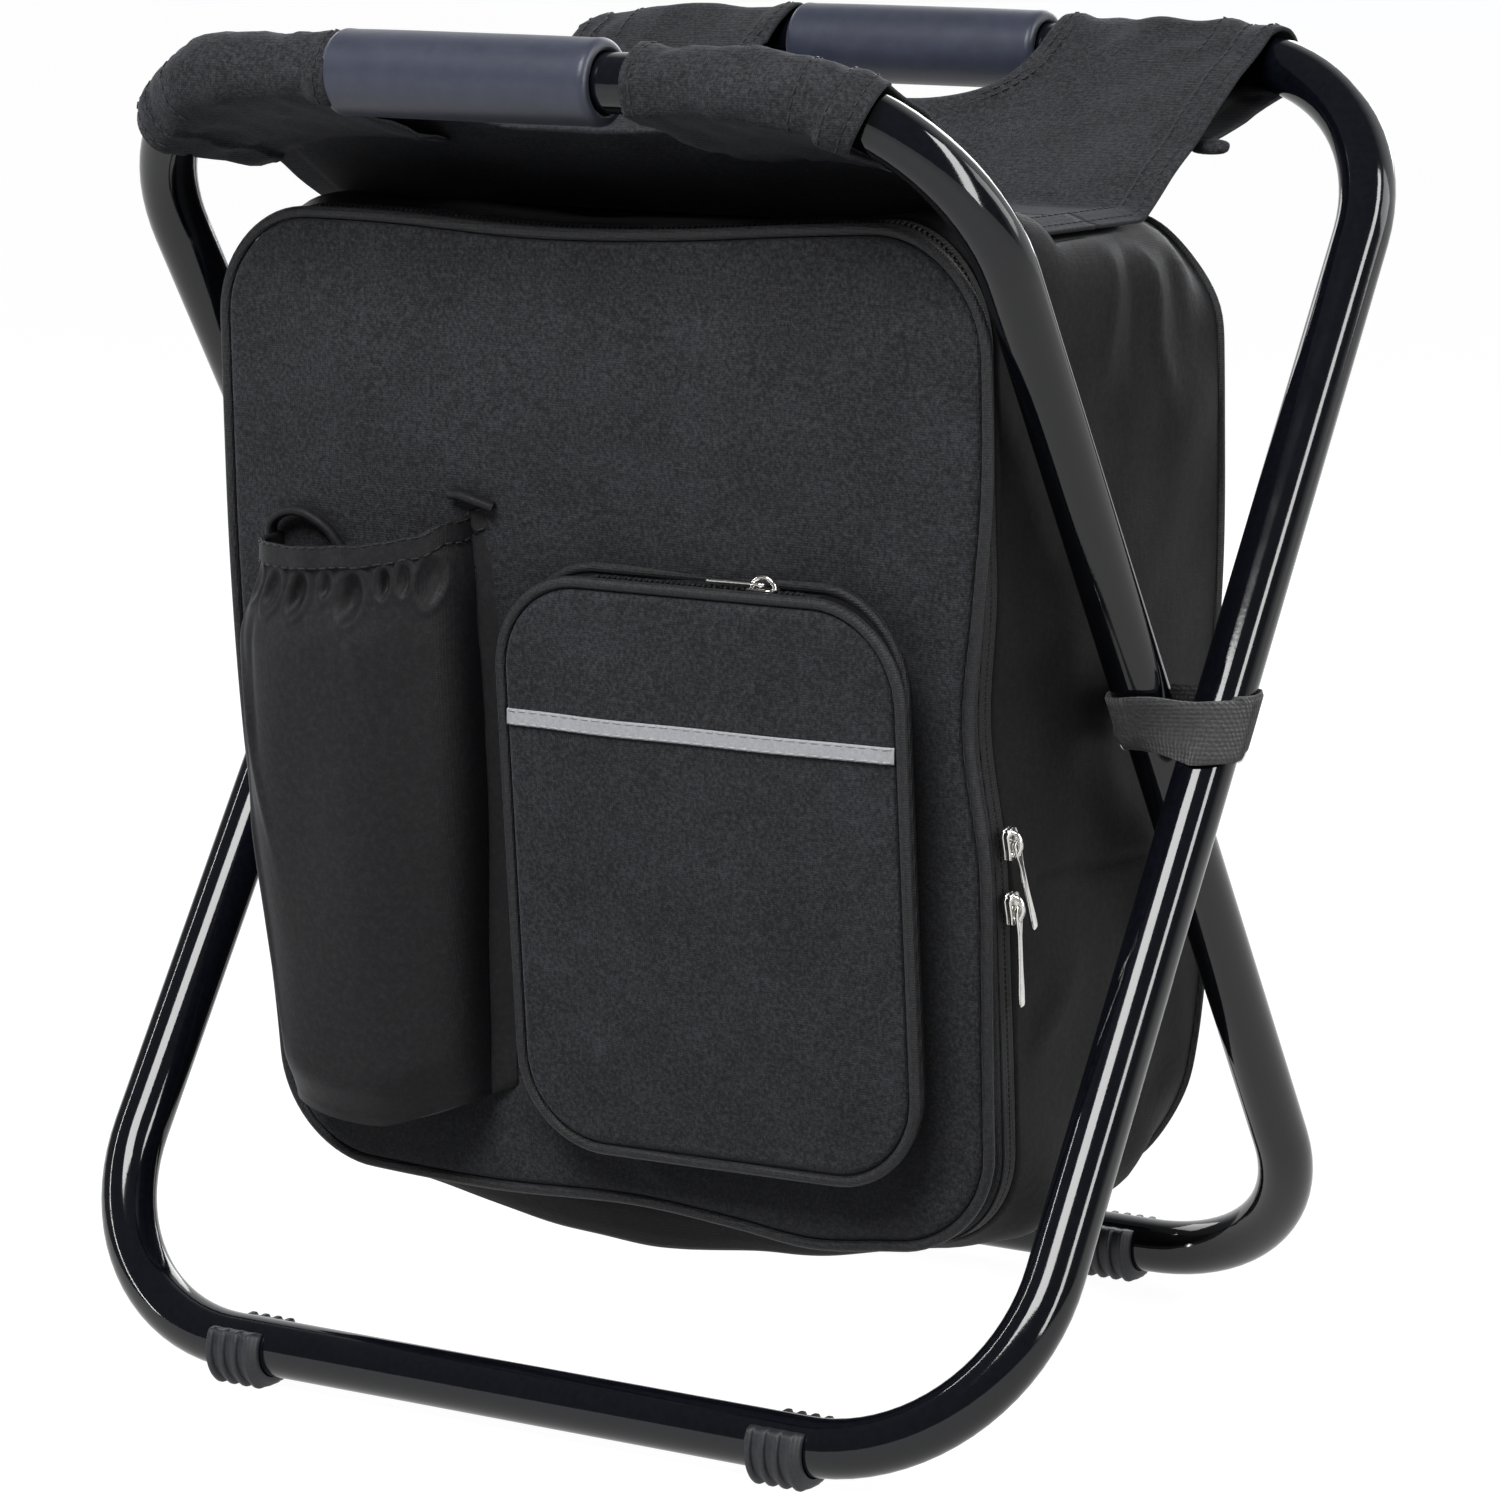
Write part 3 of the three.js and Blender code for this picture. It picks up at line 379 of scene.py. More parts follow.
def sweep(name, path, section, across, material, closed=False, crisp=None):
    """A section carried along a path. Its first axis keeps to across, as far as the path allows."""
    path = np.asarray(path, float)
    if closed:
        way = unit(np.roll(path, -1, axis=0) - np.roll(path, 1, axis=0))
    else:
        way = unit(np.gradient(path, axis=0))
    second = unit(np.cross(way, np.broadcast_to(across, path.shape)))
    first = np.cross(second, way)
    section = np.broadcast_to(section, (len(path),) + np.shape(section)[-2:])
    points = path[:, None] + section[..., :1] * first[:, None] + section[..., 1:] * second[:, None]
    if not closed:
        return loft(name, points, material, crisp)
    return make(name, points, quads(*points.shape[:2], wrap_rows=True, wrap_cols=True), material, crisp)


def circle(radius, sides=16):
    turn = turns(sides)
    return radius * np.stack([np.cos(turn), np.sin(turn)], axis=1)


def band_section(width, thickness, steps=8):
    """A flat section with rounded edges, its width on the first axis."""
    end = np.linspace(-math.pi / 2, math.pi / 2, steps)
    reach = width / 2 - thickness / 2
    right = np.stack([reach + thickness / 2 * np.cos(end), thickness / 2 * np.sin(end)], axis=1)
    flat = np.linspace(reach, -reach, steps + 2)[1:-1]
    top = np.stack([flat, np.full(steps, thickness / 2)], axis=1)
    return np.vstack([right, top, -right, -top])


def lathe(name, profile, place, axis, material, sides=48, crisp=None):
    """A turned piece. The profile is a closed line of (distance along the axis, radius)."""
    axis = unit(axis)
    first = unit(np.cross(axis, [0.3, 0.5, 0.9]))
    second = np.cross(axis, first)
    turn = turns(sides)
    spoke = np.cos(turn)[:, None] * first + np.sin(turn)[:, None] * second
    profile = np.asarray(profile, float)
    points = place + profile[:, None, :1] * axis + profile[:, None, 1:] * spoke[None]
    return make(name, points, quads(len(profile), sides, True, True), material, crisp)


def along_path(path, distances, closed=False):
    """Points at distances along a path, and the path's direction there."""
    line = np.vstack([path, path[:1]]) if closed else np.asarray(path, float)
    run = np.concatenate([[0], np.cumsum(np.linalg.norm(np.diff(line, axis=0), axis=1))])
    place = np.stack([np.interp(distances, run, line[:, k]) for k in range(3)], axis=1)
    near = np.clip(np.asarray(distances) + 0.3, 0, run[-1])
    back = near - 0.6
    way = [np.interp(near, run, line[:, k]) - np.interp(back, run, line[:, k]) for k in range(3)]
    return place, unit(np.stack(way, axis=1)), run[-1]


def even(path, count, closed=False):
    total = along_path(path, [0.0], closed)[2]
    share = np.arange(count) / count if closed else (np.arange(count) + 0.5) / count
    return along_path(path, share * total, closed)[:2]


def scatter(name, form, origins, along, out, material):
    """Copies of a small form, one at each origin, laid along the path and facing out."""
    points, faces = form
    side = unit(np.cross(out, along))
    out = np.cross(along, side)
    copies = origins[:, None] + points[:, :1] * along[:, None] + points[:, 1:2] * side[:, None]
    copies = copies + points[:, 2:] * out[:, None]
    every = []
    for i in range(len(origins)):
        every.extend(tuple(v + i * len(points) for v in face) for face in faces)
    return make(name, copies, every, material)


def bead(length, width, height, rings=5, sides=6):
    """A small closed form with rounded ends, for a stitch or a zipper tooth."""
    points = [(-length / 2, 0, 0)]
    for k in range(1, rings):
        turn = math.pi * k / rings
        for s in range(sides):
            a = 2 * math.pi * s / sides
            wide = math.sin(turn) ** 0.5
            x = -length / 2 * math.cos(turn)
            points.append((x, width / 2 * wide * math.cos(a), height / 2 * wide * math.sin(a)))
    points.append((length / 2, 0, 0))
    faces = []
    for s in range(sides):
        right = (s + 1) % sides
        faces.append((0, 1 + right, 1 + s))
        for k in range(rings - 2):
            a, b = 1 + k * sides, 1 + (k + 1) * sides
            faces.append((a + s, a + right, b + right, b + s))
        last = 1 + (rings - 2) * sides
        faces.append((len(points) - 1, last + s, last + right))
    return np.array(points), faces


STITCH = bead(3.0, 0.75, 0.6)
TOOTH = bead(1.1, 2.2, 1.5, rings=4)
STITCH_PITCH = 4.0
TOOTH_PITCH = 1.9


def stitches(name, paths, out, material, closed=False):
    """Rows of thread along paths. out is one direction for all, or one array for each path."""
    places, ways, outs = [], [], []
    for i, path in enumerate(paths):
        total = along_path(path, [0.0], closed)[2]
        place, way = even(path, max(2, int(total / STITCH_PITCH)), closed)
        facing = out[i] if isinstance(out, list) else out
        facing = np.broadcast_to(facing, np.shape(path))
        nearest = np.linspace(0, len(path) - 1, len(place)).round().astype(int)
        places.append(place)
        ways.append(way)
        outs.append(facing[nearest])
    return scatter(name, STITCH, np.vstack(places), np.vstack(ways), np.vstack(outs), material)


def plate(name, outlines, thickness, bevel, place, material):
    """A flat plate with bevelled edges. The first outline is its outside, and the rest are holes."""
    curve = bpy.data.curves.new(name, "CURVE")
    curve.dimensions = "2D"
    curve.fill_mode = "BOTH"
    curve.extrude = thickness / 2 - bevel
    curve.bevel_depth = bevel
    curve.bevel_resolution = 2
    curve.offset = -bevel
    for outline in outlines:
        spline = curve.splines.new("POLY")
        spline.points.add(len(outline) - 1)
        for point, (x, y) in zip(spline.points, outline):
            point.co = (x, y, 0, 1)
        spline.use_cyclic_u = True
    shape = bpy.data.objects.new(name + "_curve", curve)
    data = bpy.data.meshes.new_from_object(shape)
    bpy.data.objects.remove(shape)
    bpy.data.curves.remove(curve)
    data.transform(place)
    points = np.array([v.co for v in data.vertices])
    faces = [tuple(p.vertices) for p in data.polygons]
    bpy.data.meshes.remove(data)
    made = make(name, points, faces, material, crisp=35)
    rework(made.data, weld)
    return made


def joined(name, parts):
    """Several meshes as one piece."""
    points, faces = [], []
    for part in parts:
        start = len(points)
        points.extend([v.co / MM for v in part.data.vertices])
        faces.extend(tuple(v + start for v in p.vertices) for p in part.data.polygons)
    material = parts[0].data.materials[0]
    for part in parts:
        bpy.data.objects.remove(part)
    return make(name, points, faces, material, crisp=40)


def oval(width, height, count=24, power=1.0, centre=(0.0, 0.0)):
    turn = turns(count)
    x = squared(np.cos(turn), power) * width / 2
    y = squared(np.sin(turn), power) * height / 2
    return [(centre[0] + a, centre[1] + b) for a, b in zip(x, y)]


# Materials

def surface(name, roughness, metallic=0.0):
    material = bpy.data.materials.new(name)
    material.use_nodes = True
    tree = material.node_tree
    shader = tree.nodes["Principled BSDF"]
    shader.inputs["Roughness"].default_value = roughness
    shader.inputs["Metallic"].default_value = metallic
    return material, tree, shader


def node(tree, kind, inputs=None, **settings):
    made = tree.nodes.new("ShaderNode" + kind)
    for key, value in settings.items():
        setattr(made, key, value)
    for key, value in (inputs or {}).items():
        if isinstance(value, bpy.types.NodeSocket):
            tree.links.new(value, made.inputs[key])
        else:
            made.inputs[key].default_value = value
    return made


def maths(tree, operation, first, second):
    return node(tree, "Math", {0: first, 1: second}, operation=operation).outputs[0]


def grain(tree, size, detail=3.0, rough=0.6, stretch=(1, 1, 1)):
    """Noise whose features are about size millimetres across."""
    where = node(tree, "TexCoord").outputs["Object"]
    if stretch != (1, 1, 1):
        where = node(tree, "Mapping", {"Vector": where, "Scale": stretch}).outputs["Vector"]
    inputs = {"Vector": where, "Scale": 1 / (size * MM), "Detail": detail, "Roughness": rough}
    return node(tree, "TexNoise", inputs).outputs["Fac"]


def ramp(tree, factor, stops):
    made = node(tree, "ValToRGB", {"Fac": factor})
    elements = made.color_ramp.elements
    while len(elements) < len(stops):
        elements.new(0.5)
    for element, (at, colour) in zip(elements, stops):
        element.position = at
        element.color = (*colour, 1) if hasattr(colour, "__len__") else (colour, colour, colour, 1)
    return made.outputs["Color"]


def weave(tree, pitch):
    """Crossing threads on the three axes, so the weave shows whichever way the cloth faces."""
    where = node(tree, "TexCoord").outputs["Object"]
    height = None
    for direction in ("X", "Y", "Z"):
        inputs = {"Vector": where, "Scale": 0.314 / (pitch * MM), "Distortion": 0.6, "Detail": 1.0}
        wave = node(tree, "TexWave", inputs, bands_direction=direction).outputs["Fac"]
        height = wave if height is None else maths(tree, "ADD", height, wave)
    return height


def bump(tree, shader, height, strength, distance):
    inputs = {"Height": height, "Strength": strength, "Distance": distance * MM}
    before = shader.inputs["Normal"]
    if before.links:
        inputs["Normal"] = before.links[0].from_socket
    made = node(tree, "Bump", inputs)
    tree.links.new(made.outputs["Normal"], before)


def painted_gap_shade(tree, colour):
    """A colour with painted shade: it darkens in grooves and narrow gaps, where cloth keeps out the light."""
    open_share = node(tree, "AmbientOcclusion", {"Distance": 24 * MM}, samples=8).outputs["AO"]
    shade = ramp(tree, open_share, [(0.15, 0.2), (0.85, 1.0)])
    return node(tree, "VectorMath", {0: colour, 1: shade}, operation="MULTIPLY").outputs[0]


def cloth_look(name, dark, light, roughness, speck, pitch, sheen, weave_strength, blotch=0.0, shine=0.3):
    """Woven cloth: mottled yarn colour with painted shade in its grooves and gaps, a fine weave and a little
    fuzz.
    """
    material, tree, shader = surface(name, roughness)
    mottle = grain(tree, speck, detail=5.0, rough=0.75)
    if blotch:
        broad = maths(tree, "MULTIPLY", grain(tree, 22.0, detail=3.0), blotch)
        mottle = maths(tree, "SUBTRACT", maths(tree, "ADD", mottle, broad), blotch / 2)
    between = [(a + b) / 2.2 for a, b in zip(dark, light)]
    colour = ramp(tree, mottle, [(0.395, dark), (0.52, between), (0.66, light)])
    # The yarn colour takes painted shade in grooves and narrow gaps.
    tree.links.new(painted_gap_shade(tree, colour), shader.inputs["Base Color"])
    shader.inputs["Sheen Weight"].default_value = sheen
    shader.inputs["Sheen Roughness"].default_value = 0.45
    shader.inputs["Sheen Tint"].default_value = (0.75, 0.77, 0.9, 1)
    shader.inputs["Specular IOR Level"].default_value = shine
    bump(tree, shader, weave(tree, pitch), weave_strength, 0.25)
    bump(tree, shader, grain(tree, 9.0, detail=2.0), 0.25, 0.8)
    return material


def cells(tree, per_metre):
    """The distance to the nearest of many scattered points, for pores and beads."""
    where = node(tree, "TexCoord").outputs["Object"]
    return node(tree, "TexVoronoi", {"Vector": where, "Scale": per_metre}).outputs["Distance"]


def toned(name, roughness, speck, stops, detail=3.0, metallic=0.0):
    """A surface whose colour follows a grain through the stops of a ramp."""
    material, tree, shader = surface(name, roughness, metallic)
    tree.links.new(ramp(tree, grain(tree, speck, detail), stops), shader.inputs["Base Color"])
    return material, tree, shader


def frame_look():
    stops = [(0.3, (0.003, 0.0035, 0.006)), (0.75, (0.006, 0.007, 0.012))]
    material, tree, shader = toned("frame_paint", 0.12, 2.2, stops, detail=4.0)
    polish = ramp(tree, grain(tree, 14.0, detail=5.0), [(0.35, 0.06), (0.7, 0.11)])
    tree.links.new(polish, shader.inputs["Roughness"])
    bump(tree, shader, grain(tree, 1.6, detail=2.0), 0.06, 0.15)
    return material


def steel_look(name, tone, roughness):
    stops = [(0.3, [c * 0.82 for c in tone]), (0.7, tone)]
    material, tree, shader = toned(name, roughness, 3.0, stops, metallic=1.0)
    worn = [(0.3, roughness * 0.7), (0.75, roughness * 1.5)]
    scratch = ramp(tree, grain(tree, 0.9, stretch=(1, 1, 6)), worn)
    tree.links.new(scratch, shader.inputs["Roughness"])
    return material


def plastic_look():
    stops = [(0.3, (0.024, 0.025, 0.031)), (0.75, (0.046, 0.047, 0.057))]
    material, tree, shader = toned("black_plastic", 0.5, 1.4, stops, detail=4.0)
    bump(tree, shader, grain(tree, 0.5, detail=3.0), 0.2, 0.15)
    return material


def grip_look():
    stops = [(0.3, (0.037, 0.043, 0.070)), (0.7, (0.051, 0.059, 0.094))]
    material, tree, shader = toned("grip_foam", 0.42, 6.0, stops, detail=5.0)
    shader.inputs["Sheen Weight"].default_value = 0.12
    bump(tree, shader, cells(tree, 1400.0), 0.12, 0.2)
    bump(tree, shader, grain(tree, 12.0, detail=2.0), 0.15, 0.5)
    return material


def foam_look():
    material, tree, shader = toned("white_foam", 0.8, 4.0, [(0.3, 0.66), (0.7, 0.8)])
    bump(tree, shader, cells(tree, 420.0), 0.4, 0.5)
    return material


def liner_look():
    stops = [(0.3, (0.42, 0.43, 0.45)), (0.7, (0.56, 0.57, 0.59))]
    material, tree, shader = toned("liner_film", 0.34, 30.0, stops, metallic=0.35)
    bump(tree, shader, grain(tree, 16.0, detail=4.0, rough=0.7), 0.55, 1.6)
    return material


def strip_look():
    stops = [(0.3, (0.42, 0.43, 0.45)), (0.7, (0.56, 0.57, 0.60))]
    material, tree, shader = toned("reflective", 0.38, 1.0, stops, detail=4.0)
    bump(tree, shader, cells(tree, 1800.0), 0.25, 0.15)
    return material


def webbing_look(name, dark, light, pitch, fuzz):
    material, tree, shader = surface(name, 0.75)
    tone = ramp(tree, grain(tree, 1.1, detail=5.0, rough=0.8), [(0.32, dark), (0.72, light)])
    # The webbing's tone takes painted shade in grooves and narrow gaps.
    tree.links.new(painted_gap_shade(tree, tone), shader.inputs["Base Color"])
    shader.inputs["Sheen Weight"].default_value = fuzz
    bump(tree, shader, weave(tree, pitch), 0.5, 0.5)
    if fuzz > 0.3:
        bump(tree, shader, grain(tree, 0.8, detail=4.0, rough=0.8), 0.8, 0.9)
    return material


CLOTH = cloth_look("cloth", (0.0065, 0.0067, 0.0080), (0.055, 0.057, 0.066),
                   0.82, 1.25, 0.75, 0.14, 0.35, 0.16)
# A darker, duller cloth for the bag's gusset and back, also put on the zip pocket's side walls as painted
# shade.
GUSSET_AND_POCKET_SHADE = cloth_look("gusset_cloth_and_pocket_shade", (0.0095, 0.0095, 0.0105), (0.022, 0.022, 0.0235),
                    0.6, 2.2, 0.6, 0.03, 0.15, shine=0.12)
NYLON = cloth_look("nylon", (0.016, 0.016, 0.0175), (0.030, 0.030, 0.0325),
                   0.5, 2.0, 0.55, 0.05, 0.14, shine=0.15)
PIPING = cloth_look("piping", (0.013, 0.0132, 0.0145), (0.040, 0.041, 0.045), 0.55, 1.2, 0.8, 0.1, 0.35)
TAPE = cloth_look("zipper_tape", (0.006, 0.006, 0.0065), (0.016, 0.016, 0.017), 0.7, 1.0, 0.9, 0.05, 0.5)
THREAD = cloth_look("thread", (0.012, 0.012, 0.014), (0.032, 0.032, 0.036), 0.5, 0.8, 0.5, 0.1, 0.2)
PAINT = frame_look()
NICKEL = steel_look("steel", (0.78, 0.77, 0.74), 0.16)
PLASTIC = plastic_look()
GRIP = grip_look()
FOAM = foam_look()
LINER = liner_look()
STRIP = strip_look()
WEBBING = webbing_look("webbing", (0.008, 0.008, 0.009), (0.024, 0.024, 0.026), 1.6, 0.1)
FUZZ = webbing_look("hook_and_loop", (0.012, 0.012, 0.013), (0.075, 0.075, 0.080), 1.3, 0.5)


def dress(piece, body, slot, *nodes):
    """A piece rides on a body and stands for the named nodes, which are hidden. The slot is not used."""
    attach(piece, body)
    if nodes:
        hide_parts(*nodes)
    return piece


# Tube loops and what is on them

def leg_frame(side):
    """For the loop with its top bar on that side: the way down its legs, and its own flat direction."""
    down = np.array([0, -side * BAR_SPREAD, -BAR_RISE]) / LEG
    return down, np.cross(X_AXIS, down)


def loop_path(side, half):
    """The middle line of a tube loop, from the middle of its top bar round and back."""
    straight = half - BEND_R
    corner = np.radians(np.linspace(0, 90, 21))
    flat = [(0.0, 0.0)]
    flat += [(straight + BEND_R * math.sin(a), BEND_R * (1 - math.cos(a))) for a in corner]
    flat += [(half, LEG * share) for share in np.linspace(0.2, 0.8, 13)]
    flat += [(straight + BEND_R * math.cos(a), LEG - BEND_R + BEND_R * math.sin(a)) for a in corner]
    flat += [(0.0, LEG)]
    flat += [(-x, s) for x, s in reversed(flat[1:-1])]
    down = leg_frame(side)[0]
    top = np.array([0, side * BAR_Y, HIGH_Z])
    return np.array([top + x * X_AXIS + s * down for x, s in flat])


def tube_loop(name, side, half, body):
    across = leg_frame(side)[1]
    made = sweep(name, loop_path(side, half), circle(TUBE_R, 40), across, PAINT, closed=True)
    return dress(made, body, "frame_paint", name)


def grip(name, body):
    low, high = box(name)
    outer = half_size(name)[2]
    left_end, right_end = low[0] + GRIP_TRIM[0], high[0] - GRIP_TRIM[1]
    half = (right_end - left_end) / 2
    centre = np.array([(left_end + right_end) / 2, *middle(name)[1:]])
    lip = GRIP_LIP
    ends = np.radians(np.linspace(0, 90, 9))
    left = [(-half + lip - lip * math.cos(a), outer - lip + lip * math.sin(a)) for a in ends]
    right = [(-x, radius) for x, radius in reversed(left)]
    crown = [(x, outer - 0.25 * (x / half) ** 4) for x in np.linspace(-half + 2 * lip, half - 2 * lip, 24)]
    bore = TUBE_R + GRIP_FIT
    profile = [(-half, bore + 0.8)] + left + crown + right
    profile += [(half, bore + 0.8), (half - 1, bore), (1 - half, bore)]
    made = lathe(name + "_foam", profile, centre, X_AXIS, GRIP, 64)
    return dress(made, body, "grip_foam", name)


def foot_clip(name, body):
    """A ribbed clip that snaps on the bar from below, open on top and flat on its sole."""
    half = half_size(name)[0]
    centre = np.array([*middle(name)[:2], LOW_Z])
    wall, inner = CLIP_WALL + CLIP_EXTRA, TUBE_R + CLIP_FIT
    x = np.linspace(-half, half, 65)
    swell = np.clip(np.cos((x / half) * math.pi * CLIP_RIBS) * -1.6, 0, 1)
    edge = smooth((half - np.abs(x)) / 1.2)
    outer = TUBE_R + 1.0 + (wall - 1.0 + CLIP_RIB * swell) * (0.35 + 0.65 * edge)
    bore = [(a, inner) for a in np.linspace(half, -half, 12)]
    profile = np.vstack([np.stack([x, outer], axis=1), bore])
    angles = np.linspace(math.pi / 2 + CLIP_MOUTH, math.pi * 2.5 - CLIP_MOUTH, 73)
    rows = []
    for i, turn in enumerate(angles):
        lip = smooth(min(i, len(angles) - 1 - i) / 5 + 0.25)
        radius = inner + (profile[:, 1] - inner) * lip
        ring = centre + profile[:, :1] * X_AXIS + (radius * math.cos(turn))[:, None] * Y_AXIS
        ring = ring + (radius * math.sin(turn))[:, None] * Z_AXIS
        ring[:, 2] = np.maximum(ring[:, 2], 0.0)
        rows.append(ring)
    return dress(loft(name + "_clip", rows, PLASTIC, crisp=60), body, "black_plastic", name)


def rivet(name):
    """A tubular rivet with a domed head on each end."""
    reach, _, head = half_size(name)
    dome = [(reach - RIVET_DOME * (r / head) ** 2.2, r) for r in np.linspace(0.02, head, 10)]
    profile = dome + [(reach - RIVET_HEAD, head - 0.3), (reach - RIVET_HEAD, RIVET_R)]
    profile = profile + [(-a, r) for a, r in reversed(profile)]
    made = lathe(name + "_pin", profile, middle(name), X_AXIS, NICKEL, 40)
    return dress(made, "outer_frame", "steel", name)


def washer(name):
    half, _, outer = half_size(name)
    right = [(half - WASHER_EDGE, outer), (half, outer - WASHER_EDGE), (half, WASHER_HOLE)]
    profile = [(-a, r) for a, r in reversed(right)] + right
    made = lathe(name + "_ring", profile, middle(name), X_AXIS, PLASTIC, 40, crisp=50)
    return dress(made, "outer_frame", "black_plastic", name)


def hull(shapes, offset, count):
    """Even points round several ovals (centre x and y, half width, half depth), at a distance from them."""
    turn = np.linspace(0, 2 * math.pi, 721)[:-1]
    way = np.stack([np.cos(turn), np.sin(turn)], axis=1)
    reaches, points = [], []
    for x, y, wide, deep in shapes:
        reach = np.hypot(wide * way[:, 0], deep * way[:, 1])
        reaches.append(x * way[:, 0] + y * way[:, 1] + reach)
        points.append(np.array([x, y]) + way * np.array([wide, deep]) ** 2 / reach[:, None])
    best = np.argmax(reaches, axis=0)
    line = np.array(points)[best, np.arange(len(turn))] + offset(way) * way
    return even(xyz(*line.T, 0.0), count, closed=True)[0]


def pivot_strap(name, body):
    """A band of hook-and-loop webbing round both legs, sewn to the bag, its free end lapped in front."""
    low, high = box(name)
    hand = np.sign(low[0] + high[0])
    tilt = BAR_SPREAD / BAR_RISE
    deep = TUBE_R * LEG / BAR_RISE
    rows_in, rows_out = [], []
    for share in np.linspace(0, 1, 13):
        z = low[2] + 1.0 + (high[2] - low[2] - 2.0) * share
        shift = tilt * (z - PIVOT_Z)
        shapes = [(INNER_X, -shift, TUBE_R, deep), (OUTER_X, shift, TUBE_R, deep),
                  (BAG_X + 2.4, 5.0, 0.5, 2.0)]
        edge = 0.9 * (1 - smooth(min(share, 1 - share) * 14))

        def outside(way):
            lap = STRAP_LAP * smooth((-way[:, 1] - 0.2) / 0.06) * smooth((way[:, 0] + 0.08) / 0.06)
            return (STRAP_T[1] + lap - edge)[:, None]

        inside = hull(shapes, lambda way: STRAP_T[0] + edge * 0.7, 150)
        outer = hull(shapes, outside, 150)
        for rows, ring in ((rows_in, inside), (rows_out, outer)):
            droop = 1.2 * smooth((ring[:, 0] - 155) / 20) * (ring[:, 1] < 0)
            ring[:, 2] = z + 0.35 * ripple(ring, 16, 93) - droop
            rows.append(ring * np.array([hand, 1, 1]))
    rings = np.array(rows_in + rows_out[::-1])
    faces = quads(*rings.shape[:2], wrap_rows=True, wrap_cols=True)
    made = make(name + "_webbing", rings, faces, FUZZ, crisp=50)
    return dress(made, body, "webbing", name)


# Bag

def rounded(centre_x, half, low, high, radius, count):
    """Even points round an upright rounded rectangle, from the middle of its foot, and their ways out."""
    foot, head = low + radius, high - radius
    corners = [(1, foot, -90), (1, head, 0), (-1, head, 90), (-1, foot, 180)]
    line = [(centre_x, 0.0, low)]
    for hand, z, start in corners:
        for turn in np.radians(start + np.linspace(0, 90, 31)):
            x = centre_x + hand * (half - radius) + radius * math.cos(turn)
            line.append((x, 0.0, z + radius * math.sin(turn)))
    points, way = even(np.array(line), count, closed=True)
    return points, xyz(way[:, 2], 0.0, -way[:, 0])


def edge_distance(x, z, centre_x, half, low, high, radius):
    """How far inside a rounded rectangle a point is."""
    across = np.abs(x - centre_x) - (half - radius)
    up = np.abs(z - (low + high) / 2) - ((high - low) / 2 - radius)
    outside = np.hypot(np.maximum(across, 0), np.maximum(up, 0))
    return radius - outside - np.minimum(np.maximum(across, up), 0)


def rolled(distance, radius):
    """How far an edge of that radius falls back at a distance from it."""
    share = np.clip(1 - distance / radius, 0, 1)
    return radius * (1 - np.sqrt(1 - share ** 2))


def settle(points):
    """The filled bag: its outline at the front and back, and its floor hanging behind the front panel."""
    points = np.array(points, float)
    x, y, z = points[..., 0], points[..., 1], points[..., 2]
    # Sides
    behind = y - plane_y(z)
    front = smooth((25 - y) / 90)
    rim = smooth((11 - behind) / 7)
    right = rim * bent(RIGHT_SHAPE, z) + (1 - rim) * bent(ZIPPER_SHAPE, z)
    right = front * right + (1 - front) * bent(BACK_SHAPE, z)
    left = front * bent(LEFT_SHAPE, z) - (1 - front) * bent(BACK_SHAPE, z)
    wide = np.clip(np.abs(x) / BAG_X, 0, 1) ** 3
    points[..., 0] = x + wide * np.where(x > 0, right, left)
    # Top and floor
    up = (z - BAG_MID_Z) / (BAG_HIGH[2] - BAG_MID_Z)
    high, low = np.clip(up, 0, 1) ** 4, np.clip(-up, 0, 1) ** 4
    puff = TOP_PUFF * smooth((behind - 5) / 9) * smooth((-34 - y) / 20)
    sag = 1 - np.clip(np.abs(x + 8) / 130, 0, 1) ** 1.65
    sag = -FLOOR_SAG * sag * smooth((behind - 13) / 15) * (1 - 0.5 * smooth((y - 15) / 60))
    points[..., 2] = z + high * (front * bent(TOP_SHAPE, x) + puff) + low * (rim * bent(FLOOR_SHAPE, x) + sag)
    # Corners
    reach = 1.2 * CORNER_R
    out_x = np.abs(x) - (BAG_X - reach)
    out_z = np.abs(z - BAG_MID_Z) - (BAG_HIGH[2] - BAG_MID_Z - reach)
    corner = smooth(out_x / reach) * smooth(out_z / reach)
    fill = CORNER_FILL * smooth((behind - 14) / 26) * smooth((BAG_BACK - y) / 45)
    fill = fill - BACK_ROUND * smooth((y - 40) / 30)
    points[..., 0] += np.sign(x) * corner * fill
    # The top fills out the seat's middle, and stays under it
    crown = SEAT_CROWN * smooth(np.minimum(x - SEAT_LOW[0], SEAT_HIGH[0] - x) / HEM_WIDTH)
    covered = smooth((y - SEAT_LOW[1] + 10) / 8) * smooth((SEAT_HIGH[1] + 10 - y) / 8)
    points[..., 2] += np.sign(z - BAG_MID_Z) * corner * fill + high * crown * covered
    under_seat = (y > SEAT_LOW[1] - 8) & (y < SEAT_HIGH[1] + 8)
    points[..., 2] = np.where(under_seat, np.minimum(points[..., 2], SEAT_Z - 1.4 + crown), points[..., 2])
    return points


def plane_y(z):
    return FRONT_LOW_Y - PANEL_LEAN * (z - BAG_LOW[2])


RING_COUNT = 340


def bag_outline(inset):
    radius = CORNER_R - inset
    return rounded(0.0, BAG_X - inset, BAG_LOW[2] + inset, BAG_HIGH[2] - inset, radius, RING_COUNT)


def behind_front(points, back):
    """A copy of the points at a distance behind the bag's leaning front plane."""
    return at_y(points, plane_y(points[:, 2]) + back)


def bag_ring(inset, back):
    return behind_front(bag_outline(inset)[0], back)


def drawn_in(ring, share):
    """A ring drawn towards its middle."""
    centre = (ring.min(axis=0) + ring.max(axis=0)) / 2
    return at_y(centre + (ring - centre) * share, ring[:, 1])


